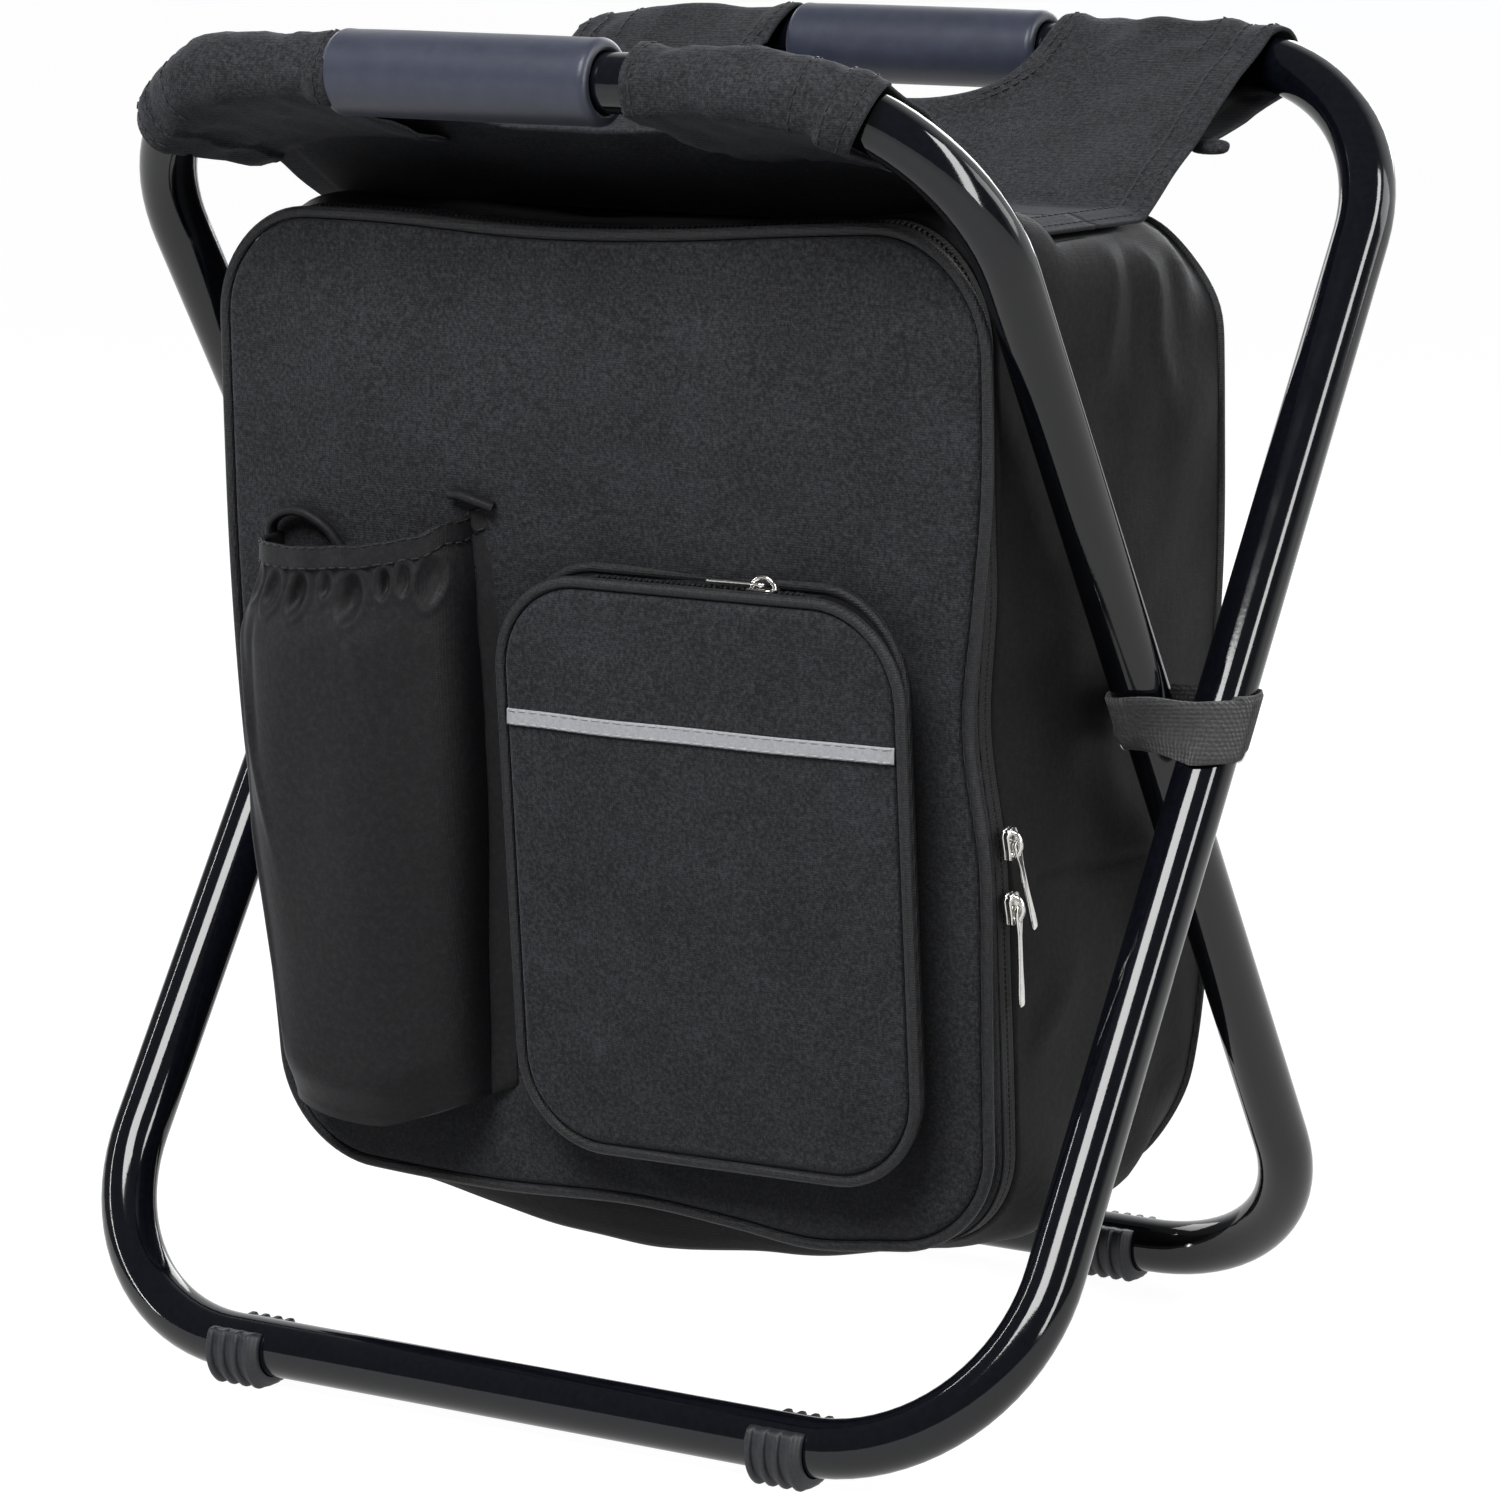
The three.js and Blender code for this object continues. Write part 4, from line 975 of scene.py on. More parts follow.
def faced(edge, shares, face_y):
    """Rings drawn in from the edge of a face, with the face's y at each point."""
    rings = [drawn_in(edge, share) for share in shares]
    return [at_y(ring, face_y(ring[:, 0], ring[:, 2])) for ring in rings]


BAG_FACE = (0.0, BAG_X, BAG_LOW[2], BAG_HIGH[2], CORNER_R)
HIDDEN_SHARES = (0.02, 0.3, 0.6, 0.9)
EDGE_SHARES = [0.9, 0.93, 0.95, 0.965, 0.975, 0.984, 0.991, 0.996, 1.0]
FACE_SHARES = np.concatenate([np.linspace(0.02, 0.86, 22), EDGE_SHARES])


def shell_wall(inset, back, front_back, steps):
    """Rings along the bag's wall, from its front edge to its back."""
    front = bag_ring(inset, front_back)
    rear = at_y(front, back)
    return [front + (rear - front) * t for t in np.linspace(0, 1, steps)]


def gusset_folds(ring, out, t):
    """The side cloth swells a little, is pressed in by the strap, and folds below the seat's corner."""
    side = smooth((np.abs(out[:, 0]) - 0.75) / 0.2)
    y, z = ring[:, 1], ring[:, 2]
    middle_share = math.sin(math.pi * t)
    swell = SIDE_SWELL * middle_share ** 0.8 * (0.45 + 0.55 * side)
    pressed = -STRAP_PRESS * np.exp(-(y / 26) ** 2 - ((z - PIVOT_Z) / 22) ** 2)
    folded = folds(y, z, SIDE_FOLDS)
    uneven = ripple(ring, 70, 11) * 0.9 + ripple(ring, 28, 12) * 0.35
    ends = smooth(t * 6) * smooth((1 - t) * 6)
    return (swell + (pressed + folded) * side * ends + uneven * middle_share ** 0.4)[:, None] * out


def back_face_y(x, z):
    """The bag's back: rolled at its edge, and a little hollow."""
    depth = edge_distance(x, z, *BAG_FACE)
    hollow = smooth(depth / 40) * (BACK_HOLLOW + BACK_UNEVEN * ripple(xyz(x, BAG_BACK, z), 90, 21))
    return BAG_BACK - rolled(depth, BACK_ROLL) - np.maximum(hollow, 0)


def bag_shell():
    """Side, top and bottom gusset with the back, sewn from one cloth, open at the front."""
    out = bag_outline(0.0)[1]
    steps = 46
    wall = shell_wall(0.0, BAG_BACK - 3, SHELL_BACK, steps)
    outer = [ring + gusset_folds(ring, out, i / (steps - 1)) for i, ring in enumerate(wall)]
    inner = [ring - CLOTH_T * out for ring in outer[::-1]]
    rings = [drawn_in(inner[0], s) for s in HIDDEN_SHARES] + inner + outer
    rings += faced(wall[-1], FACE_SHARES[::-1], back_face_y)
    made = loft("bag_shell_cloth", settle(rings), GUSSET_AND_POCKET_SHADE)
    return dress(made, "bag", "cloth", "bag_shell")


def bag_cup(name, inset, thickness, front_back, material, seed):
    """A layer inside the bag, a cup open at the front."""
    back = BAG_BACK - inset
    outer_back = at_y(bag_outline(inset)[0], back)
    inner_back = at_y(bag_outline(inset + thickness)[0], back - thickness)
    wall_in = shell_wall(inset + thickness, back - thickness, front_back, 26)
    out = bag_outline(inset + thickness)[1]
    rings = [drawn_in(outer_back, s) for s in HIDDEN_SHARES]
    rings += shell_wall(inset, back, front_back, 12)[::-1]
    for i, ring in enumerate(wall_in):
        depth = math.sin(math.pi * i / 25) * 0.8 * ripple(ring, 40, seed)
        rings.append(ring - np.maximum(depth, 0)[:, None] * out)
    for share in np.linspace(0.97, 0.03, 26):
        ring = drawn_in(inner_back, share)
        ring[:, 1] -= np.maximum(smooth((1 - share) * 6) * 0.9 * ripple(ring, 45, seed + 1), 0)
        rings.append(ring)
    return loft(name, settle(rings), material)


def panel_face_y(x, z):
    """The front panel's face: a padded sheet, rolled back at its edge."""
    depth = edge_distance(x, z, *BAG_FACE)
    uneven = PANEL_UNEVEN * smooth(depth / 30) * ripple(xyz(x, 0, z), 85, 31)
    crown = PANEL_CROWN * smooth(depth / 70) + uneven
    folded = folds(x, z, PANEL_FOLDS) * smooth((depth - 3) / 8)
    return plane_y(z) + rolled(depth, EDGE_ROLL) - crown - folded


def panel_ring(inset, back, share):
    """A ring drawn towards the panel's middle, at a distance behind its front plane."""
    return behind_front(drawn_in(bag_outline(inset)[0], share), back)


def front_panel():
    """The panel's cloth: its face, its rim and a flat back."""
    rings = faced(bag_outline(0.0)[0], FACE_SHARES, panel_face_y)
    rings += [bag_ring(0.0, back) for back in (6.0, 7.5, RIM_DEPTH)]
    rings += [bag_ring(CLOTH_T, back) for back in (RIM_DEPTH, 6.0, EDGE_ROLL)]
    rings += [panel_ring(CLOTH_T, 3.5, s) for s in (0.95, 0.7, 0.4, 0.02)]
    made = loft("front_panel_cloth", settle(rings), CLOTH)
    dress(made, "front_panel", "cloth", "front_panel_skin")


def panel_layers():
    """The sheets of foam and liner inside the front panel."""
    for name, inset, front, back, slot, material in (
            ("front_panel_foam", 3.0, 4.2, 6.8, "white_foam", FOAM),
            ("front_panel_liner", 2.2, 7.2, 8.4, "liner_film", LINER)):
        rings = [panel_ring(inset, front, s) for s in np.linspace(0.02, 1, 14)]
        rings.append(bag_ring(inset - 0.2, (front + back) / 2))
        for share in np.linspace(1, 0.02, 24):
            ring = panel_ring(inset, back, share)
            ring[:, 1] += smooth((1 - share) * 8) * (0.5 + 0.4 * ripple(ring, 50, 41))
            rings.append(ring)
        dress(loft(name + "_sheet", settle(rings), material), "front_panel", slot, name)


def ring_piping(node_name, reach, back_y, body):
    """Piping round an edge of the bag."""
    points, out = bag_outline(0.0)
    path = points + out * reach
    path = settle(at_y(path, back_y(path[:, 2])))
    path = even(path, 360, closed=True)[0]
    made = sweep(node_name + "_cord", path, circle(PIPING_R, 14), Y_AXIS, PIPING, closed=True)
    return dress(made, body, "piping", node_name)


def bag_pipings():
    ring_piping("front_piping", PIPING_OUT, lambda z: plane_y(z) + PIPING_R, "front_panel")
    ring_piping("back_piping", -0.3, lambda z: np.full_like(z, BAG_BACK - PIPING_R), "bag")


def main_zipper(name, back, toward, body, node_name):
    """Half of the main zipper: its tape round the bag and the row of teeth on the tape's edge."""
    path = even(settle(bag_ring(TAPE_INSET, back)), 360, closed=True)[0]
    tape = sweep(name + "_band", path, band_section(TAPE_WIDTH, TAPE_T, 5), Y_AXIS, TAPE, closed=True)
    dress(tape, body, "zipper_tape", node_name)
    row = settle(bag_ring(TEETH_INSET, back + toward * TEETH_SHIFT))
    total = along_path(row, [0.0], True)[2]
    place, way = even(row, int(total / TOOTH_PITCH), closed=True)
    out = unit(np.cross(way, Y_AXIS))
    teeth = scatter(name + "_teeth", TOOTH, place + out * TEETH_OUT, way, out, TAPE)
    dress(teeth, body, "zipper_tape")


# Pockets

def face_values(node_name):
    """Middle and half width of a node along x, and its lowest and highest z."""
    low, high = box(node_name)
    return (low[0] + high[0]) / 2, (high[0] - low[0]) / 2, low[2], high[2]


def pocket_face_y(x, z):
    centre, half, low, high = face_values("zip_pocket")
    depth = edge_distance(x, z, centre, half, low, high, POCKET_CORNER)
    uneven = POCKET_UNEVEN * smooth(depth / 25) * ripple(xyz(x, 0, z), 60, 51)
    crown = POCKET_CROWN * smooth(depth / 60) + uneven
    return plane_y(z) - POCKET_DEPTH + rolled(depth, POCKET_ROLL) - crown


def pocket_hang(points):
    """The filled pocket: its front leans up to the right, and its gusset tucks in on the right."""
    points = np.array(points, float)
    centre, half, low, high = face_values("zip_pocket")
    x, y, z = points[..., 0], points[..., 1], points[..., 2]
    share = (x - centre) / half
    front = np.clip((plane_y(z) - y) / POCKET_DEPTH, 0, 1)
    up = (z - low) / (high - low)
    points[..., 0] = x - POCKET_TUCK * smooth(share) * (1 - front)
    tilt = POCKET_TILT * share * front * (1 - 0.75 * smooth(up / 0.7))
    points[..., 2] = z + tilt + 3.6 * smooth(up * 4 - 3) * (1 - front)
    return points


def zip_pocket():
    centre, half, low, high = face_values("zip_pocket")
    points, out = rounded(centre, half, low, high, POCKET_CORNER, 280)
    side = np.abs(out[:, 0:1])
    rings = []
    for depth in np.linspace(-2.0, POCKET_DEPTH - POCKET_ROLL, 14):
        ring = behind_front(points, -depth)
        swell = 0.9 * math.sin(math.pi * np.clip(depth / (POCKET_DEPTH - POCKET_ROLL), 0, 1))
        rings.append(ring + swell * side * out * (1 + 0.5 * ripple(ring, 40, 52))[:, None])
    rings += faced(points, FACE_SHARES[::-1], pocket_face_y)
    made = loft("zip_pocket_cloth", pocket_hang(rings), CLOTH)
    # The pocket's side walls take the darker gusset cloth as painted shade.
    made.data.materials.append(GUSSET_AND_POCKET_SHADE)
    for face in made.data.polygons[:13 * len(points)]:
        face.material_index = 1
    dress(made, "front_panel", "cloth", "zip_pocket")
    pipings = (("zip_pocket_front_piping", POCKET_DEPTH - PIPING_R), ("zip_pocket_rear_piping", PIPING_R))
    for name, depth in pipings:
        path = pocket_hang(behind_front(points + out * PIPING_OUT, -depth))
        cord = sweep(name + "_cord", path, circle(PIPING_R, 14), Y_AXIS, PIPING, closed=True)
        dress(cord, "front_panel", "piping", name)


def reflective_strip():
    low, high = box("reflective_strip")
    x, z = np.linspace(low[0], high[0], 60), middle("reflective_strip")[2]
    path = pocket_hang(xyz(x, pocket_face_y(x, z) - STRIP_OUT, z))
    section = band_section(STRIP_HEIGHT, STRIP_T, 6)
    made = sweep("reflective_strip_tape", path, section, Z_AXIS, STRIP, crisp=60)
    dress(made, "front_panel", "reflective", "reflective_strip")
    rows = [path + Z_AXIS * offset - Y_AXIS * STRIP_T / 2 for offset in (-STRIP_SEAM, STRIP_SEAM)]
    dress(stitches("reflective_strip_stitching", rows, -Y_AXIS, STRIP), "front_panel", "reflective")


def pocket_zipper():
    low, high = box("pocket_zipper_tape")
    path = pocket_hang(xyz(np.linspace(low[0], high[0], 50), *middle("pocket_zipper_tape")[1:]))
    tape = sweep("pocket_zipper_band", path, band_section(high[1] - low[1], POCKET_TAPE_T, 6), Y_AXIS, TAPE)
    dress(tape, "front_panel", "zipper_tape", "pocket_zipper_tape")
    count = int((high[0] - low[0] - 2 * POCKET_TAPE_ENDS) / TOOTH_PITCH)
    place = along_path(path, POCKET_TAPE_ENDS + np.arange(count) * TOOTH_PITCH)[0]
    place = place + Z_AXIS * POCKET_TAPE_T + np.where(np.arange(count) % 2, 0.5, -0.5)[:, None] * Y_AXIS
    way = np.broadcast_to(X_AXIS, place.shape)
    teeth = scatter("pocket_zipper_teeth", TOOTH, place, way, np.broadcast_to(Z_AXIS, place.shape), TAPE)
    dress(teeth, "front_panel", "zipper_tape")


def bottle_plan(u, depth):
    """The pocket's plan at shares u from left to right: bowed out, with a flange on the right."""
    right = (2 * u - 1) / FLANGE_FROM
    turn = math.pi * np.where(u < 0.5, 1 - u, (1 - np.clip(right, 0, 1)) / 2)
    power = np.where(u < 0.5, *BOTTLE_POWER)
    x = squared(np.cos(turn), power)
    flange = np.clip((right - 1) * FLANGE_FROM / (1 - FLANGE_FROM), 0, 1)
    x = np.where(u < 0.5, x, BOTTLE_SIDE * x + (1 - BOTTLE_SIDE) * flange)
    least = np.where(u < 0.5, 0, FLANGE_OUT[0] + (FLANGE_OUT[1] - FLANGE_OUT[0]) * flange)
    return x, np.maximum(depth * np.abs(np.sin(turn)) ** power, least)


BAND_LINE = ((-1, -4.5), (-0.36, -3.8), (0.15, -2.0), (0.5, 1.0), (0.68, 3.4), (0.78, 7.0),
             (1, 10.0))  # across, rise
BAND_SHIFT = 2.6
BOTTLE_CREASES = (  # start and end (across, up), height and width
    ((-42, 152), (-36, 20), 2.2, 1.5),
    ((-41, 150), (-24, 66), 2.0, 1.8),
    ((-38, 84), (-33, 8), 1.8, 1.8),
    ((-33, 150), (-30, 96), -1.5, 2.0),
    ((10, 150), (18, 100), 1.0, 4.0),
    ((30, 20), (24, 120), -1.0, 5.0))
FOOT_LINE = ((-1, -7.0), (-0.3, -11.0), (0.1, -11.0), (0.63, -4.0), (1, 2.0))
BOTTLE_LIPS = (  # x and z of points along them
    ("arch", ((-118, 262), (-117, 267), (-113, 270.6), (-107, 272.2), (-101, 271.0), (-95, 267), (-91, 261))),
    ("strip", ((-48, 281.5), (-43, 281.6), (-38, 280.4), (-33, 278.6))))
BOTTLE_BELLY = ((0, 0.9), (0.3, 0.97), (0.56, 1.05), (0.82, 1.06), (0.9, 1.04), (1, 0.952))  # height, width


def bottle_surface(u, v):
    """A point of the bottle pocket at shares u across and v up."""
    centre, half, low, high = face_values("bottle_pocket")
    foot = smooth(v / 0.10)
    gather = smooth((v - 0.83) / 0.16)
    depth = BOTTLE_DEPTH * (0.8 + 0.2 * foot) * (1 - gather) + BAND_DEPTH * gather
    depth = depth + 1.5 * np.sin(math.pi * np.clip(v, 0, 1))
    across, out = bottle_plan(u, depth)
    rise = bent(BAND_LINE, across) * smooth((v - 0.3) / 0.7) + bent(FOOT_LINE, across) * (1 - smooth(v / 0.6))
    z = low + (high - low) * v + rise
    below = low + (high - low) + rise - z
    bulge = np.sin(math.pi * u) ** 0.4
    lift = 0.0
    for place, wide, tall, deep in GATHERS:
        ring = np.hypot((across - place) * half / wide, (below - tall - 0.5) / tall)
        lift = lift + 0.9 * np.exp(-((ring - 1) / 0.2) ** 2) - deep * smooth((1 - ring) / 0.8)
    lift = lift + folds(across * half, v * (high - low), BOTTLE_CREASES)
    x = across * half * bent(BOTTLE_BELLY, v) + centre + BAND_SHIFT * smooth((v - 0.85) / 0.15)
    hang = 0.8 * ripple(xyz(x, out, 0.35 * z), 26, 61) * smooth(v * 6)
    return xyz(x, plane_y(z) - out - (lift + hang) * bulge, z)


def bottle_pocket():
    """The pocket's cloth, from its closed foot to its mouth."""
    centre, _, low, _ = face_values("bottle_pocket")
    u = np.linspace(0, 1, BOTTLE_COLUMNS)
    heights = np.concatenate([np.linspace(0, 0.8, 50), np.linspace(0.81, 1, 40)])
    rows = [bottle_surface(u, np.full_like(u, v)) for v in heights]
    first = rows[0]
    root = np.array([centre, plane_y(low), first[:, 2].mean()])
    base = []
    for share in np.linspace(0.05, 0.97, 16):
        ring = root + (first - root) * share
        ring[:, 2] = first[:, 2] - 1.6 * (1 - share ** 4) + 0.5 * ripple(ring, 22, 62) * share
        base.append(ring)
    points = np.array(base + rows)
    made = make("bottle_pocket_cloth", points, quads(*points.shape[:2]), NYLON)
    thicken(made, NYLON_T)
    dress(made, "front_panel", "nylon", "bottle_pocket")


def bottle_band():
    """The elastic band round the pocket's mouth, with its two seams."""
    centre, half, _, high = face_values("bottle_pocket")
    u = np.linspace(0, 1, BOTTLE_COLUMNS)
    across, bow = bottle_plan(u, BAND_DEPTH + NYLON_T)
    x = centre + BAND_SHIFT + across * half * BOTTLE_BELLY[-1][1]
    z = high + bent(BAND_LINE, across) + BAND_HEIGHT / 2 - 0.8
    path = xyz(x, plane_y(z) - bow, z)
    path[:, 1] -= 0.5 * ripple(path, 16, 63) * np.sin(math.pi * u)
    path[:, 2] += 0.4 * ripple(path, 13, 64)
    out = unit(np.cross(np.gradient(path, axis=0), Z_AXIS))
    band = sweep("bottle_pocket_elastic", path, band_section(BAND_HEIGHT, BAND_T, 10), Z_AXIS, NYLON)
    dress(band, "front_panel", "nylon", "bottle_pocket_band")
    lines = [path + Z_AXIS * offset + out for offset in (-BAND_SEAM, BAND_SEAM)]
    dress(stitches("bottle_pocket_stitching", lines, [out, out], THREAD), "front_panel", "nylon")


def bottle_lips():
    """The edges of the pocket's back layer that stand off the panel at the two ends of its mouth."""
    parts = []
    at = np.linspace(0, 1, 40)
    for name, line in BOTTLE_LIPS:
        place = np.linspace(0, 1, len(line))
        x, z = (bent(list(zip(place, values)), at) for values in zip(*line))
        path = xyz(x, plane_y(z) - 4.2 - 2.0 * np.sin(math.pi * at), z)
        parts.append(sweep("bottle_pocket_lip_" + name, path, band_section(4.6, 3.0, 6), Y_AXIS, NYLON))
    dress(joined("bottle_pocket_lips", parts), "front_panel", "nylon")


# Zipper sliders and pulls

def upright(origin, x_way, y_way):
    """The place of a plate whose own axes are x_way and y_way."""
    z_way = np.cross(x_way, y_way)
    place = np.identity(4)
    place[:3, 0], place[:3, 1], place[:3, 2], place[:3, 3] = x_way, y_way, z_way, origin
    return Matrix(place.tolist())


SLIDER_SIZE = (10.0, 6.6)
# Half outlines: shares of the length and the width of a slider, and of a pull's length, with half its width
SLIDER_HALF = ((0.5, 0.16), (0.46, 0.36), (0.3, 0.5), (0.05, 0.44), (-0.2, 0.36), (-0.46, 0.34), (-0.5, 0.2))
PULL_HALF = ((-0.04, 0.0), (-0.035, 1.0), (0.0, 1.7), (0.09, 1.75), (0.18, 1.4), (0.27, 1.0), (0.6, 1.05),
             (0.85, 1.5), (0.97, 1.45), (1.0, 0.9))


def slider(name, along, out, body, bail_length, bail_rise):
    """A zipper slider: a waisted body in two plates, with an arched bail over it."""
    origin = middle(name)
    side = np.cross(out, along)
    outline = mirrored([(SLIDER_SIZE[0] * a, SLIDER_SIZE[1] * b) for a, b in SLIDER_HALF])
    plates = (("_low", outline, 1.2, 0.35, out * -0.9), ("_high", outline, 1.2, 0.35, out * 0.7),
              ("_post", oval(3, 3), 2.4, 0.3, along * 3.2))
    parts = [plate(name + part, [line], thick, bevel, upright(origin + shift, along, side), NICKEL)
             for part, line, thick, bevel, shift in plates]
    arch = np.radians(np.linspace(0, 180, 19))
    bail = [origin + along * (bail_length / 2 * math.cos(a)) + out * (1.0 + bail_rise * math.sin(a))
            for a in arch]
    parts.append(sweep(name + "_bail", bail, circle(0.8, 10), side, NICKEL))
    return dress(joined(name + "_body", parts), body, "steel", name)


def pull(name, head, foot, out, body):
    """A slim tab with a long eye at its head and a rounded swelling at its foot."""
    run = np.subtract(foot, head)
    along, length = unit(run), np.linalg.norm(run)
    side = np.cross(out, along)
    outline = mirrored([(length * a, b) for a, b in PULL_HALF])
    eye = oval(3.2, 1.8, 20, 0.8, (length * 0.07, 0))
    tab = plate(name + "_tab", [outline, eye], 1.1, 0.3, upright(head, along, side), NICKEL)
    return dress(tab, body, "steel", name)


def zippers():
    lean = unit(np.array([0, -PANEL_LEAN, 1.0]))
    for which in ("upper", "lower"):
        slider("main_slider_" + which, lean, X_AXIS, which + "_slider", 7.2, 2.8)
        low, high = box("main_pull_" + which)
        x = middle("main_pull_" + which)[0]
        head = (x, middle("main_slider_" + which)[1], high[2] - 1.2)
        foot = (x, high[1] - 2.2, low[2] + 0.4)
        pull("main_pull_" + which, head, foot, X_AXIS, which + "_pull")
    slider("pocket_slider", X_AXIS, Z_AXIS, "small_slider", 8.0, 3.6)
    low, high = box("pocket_pull")
    y, z = middle("pocket_pull")[1:]
    pull("pocket_pull", (high[0] - 1.1, y, z), (low[0] + 0.2, y, z), Z_AXIS, "small_pull")


# Seat

class SeatHalf:
    """One half of the seat: a slope from the bag's top up over a bar, with a sleeve on each side of the grip.

    Columns of the cloth run from the seam under the slope, round the bar, down the slope
    and along the bag's top.
    """

    def __init__(self, side, half_width, wrap, edge_y):
        self.side = side
        self.straight = half_width - BEND_R
        self.reach = [self.straight + BEND_R * math.radians(part) for part in wrap]
        self.edge_y = edge_y
        self.down, self.flat = leg_frame(side)
        inward = BAR_Y - abs(edge_y)
        fall = SEAT_Z - HIGH_Z
        self.tangent = math.atan2(fall, inward) + math.acos(SLEEVE_R / math.hypot(inward, fall))
        self.length = math.sqrt(inward ** 2 + fall ** 2 - SLEEVE_R ** 2)
        self.slope = np.array([0, -side * math.sin(self.tangent), -math.cos(self.tangent)])
        self.normal = np.array([0, -side * math.cos(self.tangent), math.sin(self.tangent)])

    def bar(self, along, angle, radius):
        """A point of a sleeve at a distance along the bar, at an angle round it."""
        hand = np.sign(along)
        turn = np.maximum(np.abs(along) - self.straight, 0) / BEND_R
        x = hand * (np.minimum(np.abs(along), self.straight) + BEND_R * np.sin(turn))
        drop = BEND_R * (1 - np.cos(turn))
        offset = np.array([0, -self.side * math.cos(angle), math.sin(angle)])
        out, flat = -offset @ self.down, offset @ self.flat
        outward = -np.cos(turn)[:, None] * self.down + (np.sin(turn) * hand)[:, None] * X_AXIS
        centre = xyz(x, self.side * BAR_Y, HIGH_Z) + drop[:, None] * self.down
        return centre + np.asarray(radius)[..., None] * (out * outward + flat * self.flat)

    def columns(self):
        """Where each column meets the bar and the bag's top, with close columns in the hems."""
        hem = np.array([0, 1.2, 2.4, 3.6, 6, 8.4, 9.6, 10.4, 11.2, 12.2])
        left, right = self.reach
        parts = []
        for outer, low_x, notch in ((-left, SEAT_LOW[0], NOTCH_LEFT), (right, SEAT_HIGH[0], NOTCH_RIGHT)):
            total = abs(outer - notch)
            inner = np.linspace(hem[-1], total - hem[-1], 22)[1:-1]
            share = np.concatenate([hem, inner, total - hem[::-1]]) / total
            parts.append((outer + (notch - outer) * share, low_x + (notch - low_x) * share))
        middle_x = NOTCH_X + NOTCH_HALF * np.sin(np.radians(np.linspace(-90, 90, 45)))[1:-1]
        left, right = parts
        along = np.concatenate([left[0], middle_x, right[0][::-1]])
        low = np.concatenate([left[1], middle_x, right[1][::-1]])
        return along, low, len(left[0]), len(middle_x)

    @staticmethod
    def notch_edge(x):
        """How far down the slope the cut-out reaches at x."""
        away = np.abs(x - NOTCH_X)
        side = NOTCH_HALF - NOTCH_CORNER
        bow = np.sqrt(np.maximum(NOTCH_CORNER ** 2 - np.maximum(away - side, 0) ** 2, 0))
        return np.where(away < NOTCH_HALF, NOTCH_DEPTH - NOTCH_CORNER + bow, NOTCH_DEPTH - NOTCH_CORNER)

    def grid(self):
        along, low, flap, centre = self.columns()
        top = self.bar(along, self.tangent, np.full_like(along, SLEEVE_R))
        foot = xyz(low, self.edge_y, SEAT_Z)
        run = foot - top
        seam = top + run * (UNDER_REACH / self.length) - self.normal * 2.0
        loose = 1.0 + 1.6 * smooth((np.abs(along) - 60) / 60)
        low_angle = self.tangent - UNDER_ANGLE
        leave = self.bar(along, low_angle, SLEEVE_R + loose)
        rows = [seam + (leave - seam) * q for q in np.linspace(0, 1, 9)[:-1]]
        for share in np.linspace(0, 1, 25):
            angle = low_angle + 2 * math.pi - (low_angle + 2 * math.pi - self.tangent) * share
            slack = loose * (1 - smooth(share * 1.6))
            if self.side < 0:
                past = -along - self.straight
                bend = smooth(past / 22) * smooth((54 - past) / 24)
                slack = slack + SLEEVE_SLACK * bend * math.sin(math.pi * share) ** 0.7
            rows.append(self.bar(along, angle, SLEEVE_R + slack))
        short = NOTCH_DEPTH - NOTCH_CORNER
        rows += [top + run * (s / self.length) for s in np.linspace(0, short, 6)[1:-1]]
        self.cut_rows = len(rows)
        start = self.notch_edge(along) / self.length
        turn = SEAT_FOLD / self.length
        for share in np.linspace(0, 1, 26):
            at = start + (1 - turn - start) * share
            rows.append(top + run * at[:, None])
        flat_way = np.array([0, -self.side * SEAT_FOLD, 0])
        for q in np.linspace(0, 1, 7)[1:]:
            begin = (1 - q) ** 2 * (foot - run * turn)
            rows.append(begin + 2 * q * (1 - q) * foot + q ** 2 * (foot + flat_way))
        last = foot + flat_way
        rows += [last + (at_y(last, 0.0) - last) * q for q in np.linspace(0, 1, 9)[1:]]
        return np.array(rows), flap, centre

    @staticmethod
    def hem_share(x, edge, slide):
        """1 on the hems of the sides and of the cut-out, and 0 elsewhere."""
        gap_x = np.abs(x - NOTCH_X) - (NOTCH_HALF - NOTCH_CORNER)
        gap_s = slide - (NOTCH_DEPTH - NOTCH_CORNER)
        from_notch = np.hypot(np.maximum(gap_x, 0), np.maximum(gap_s, 0)) - NOTCH_CORNER
        from_notch = np.where(gap_s < 0, np.abs(x - NOTCH_X) - NOTCH_HALF, from_notch)
        inside = np.minimum(edge - HEM_WIDTH, from_notch - HEM_WIDTH * 0.75)
        return 1 - smooth((inside + 0.6) / 1.2)

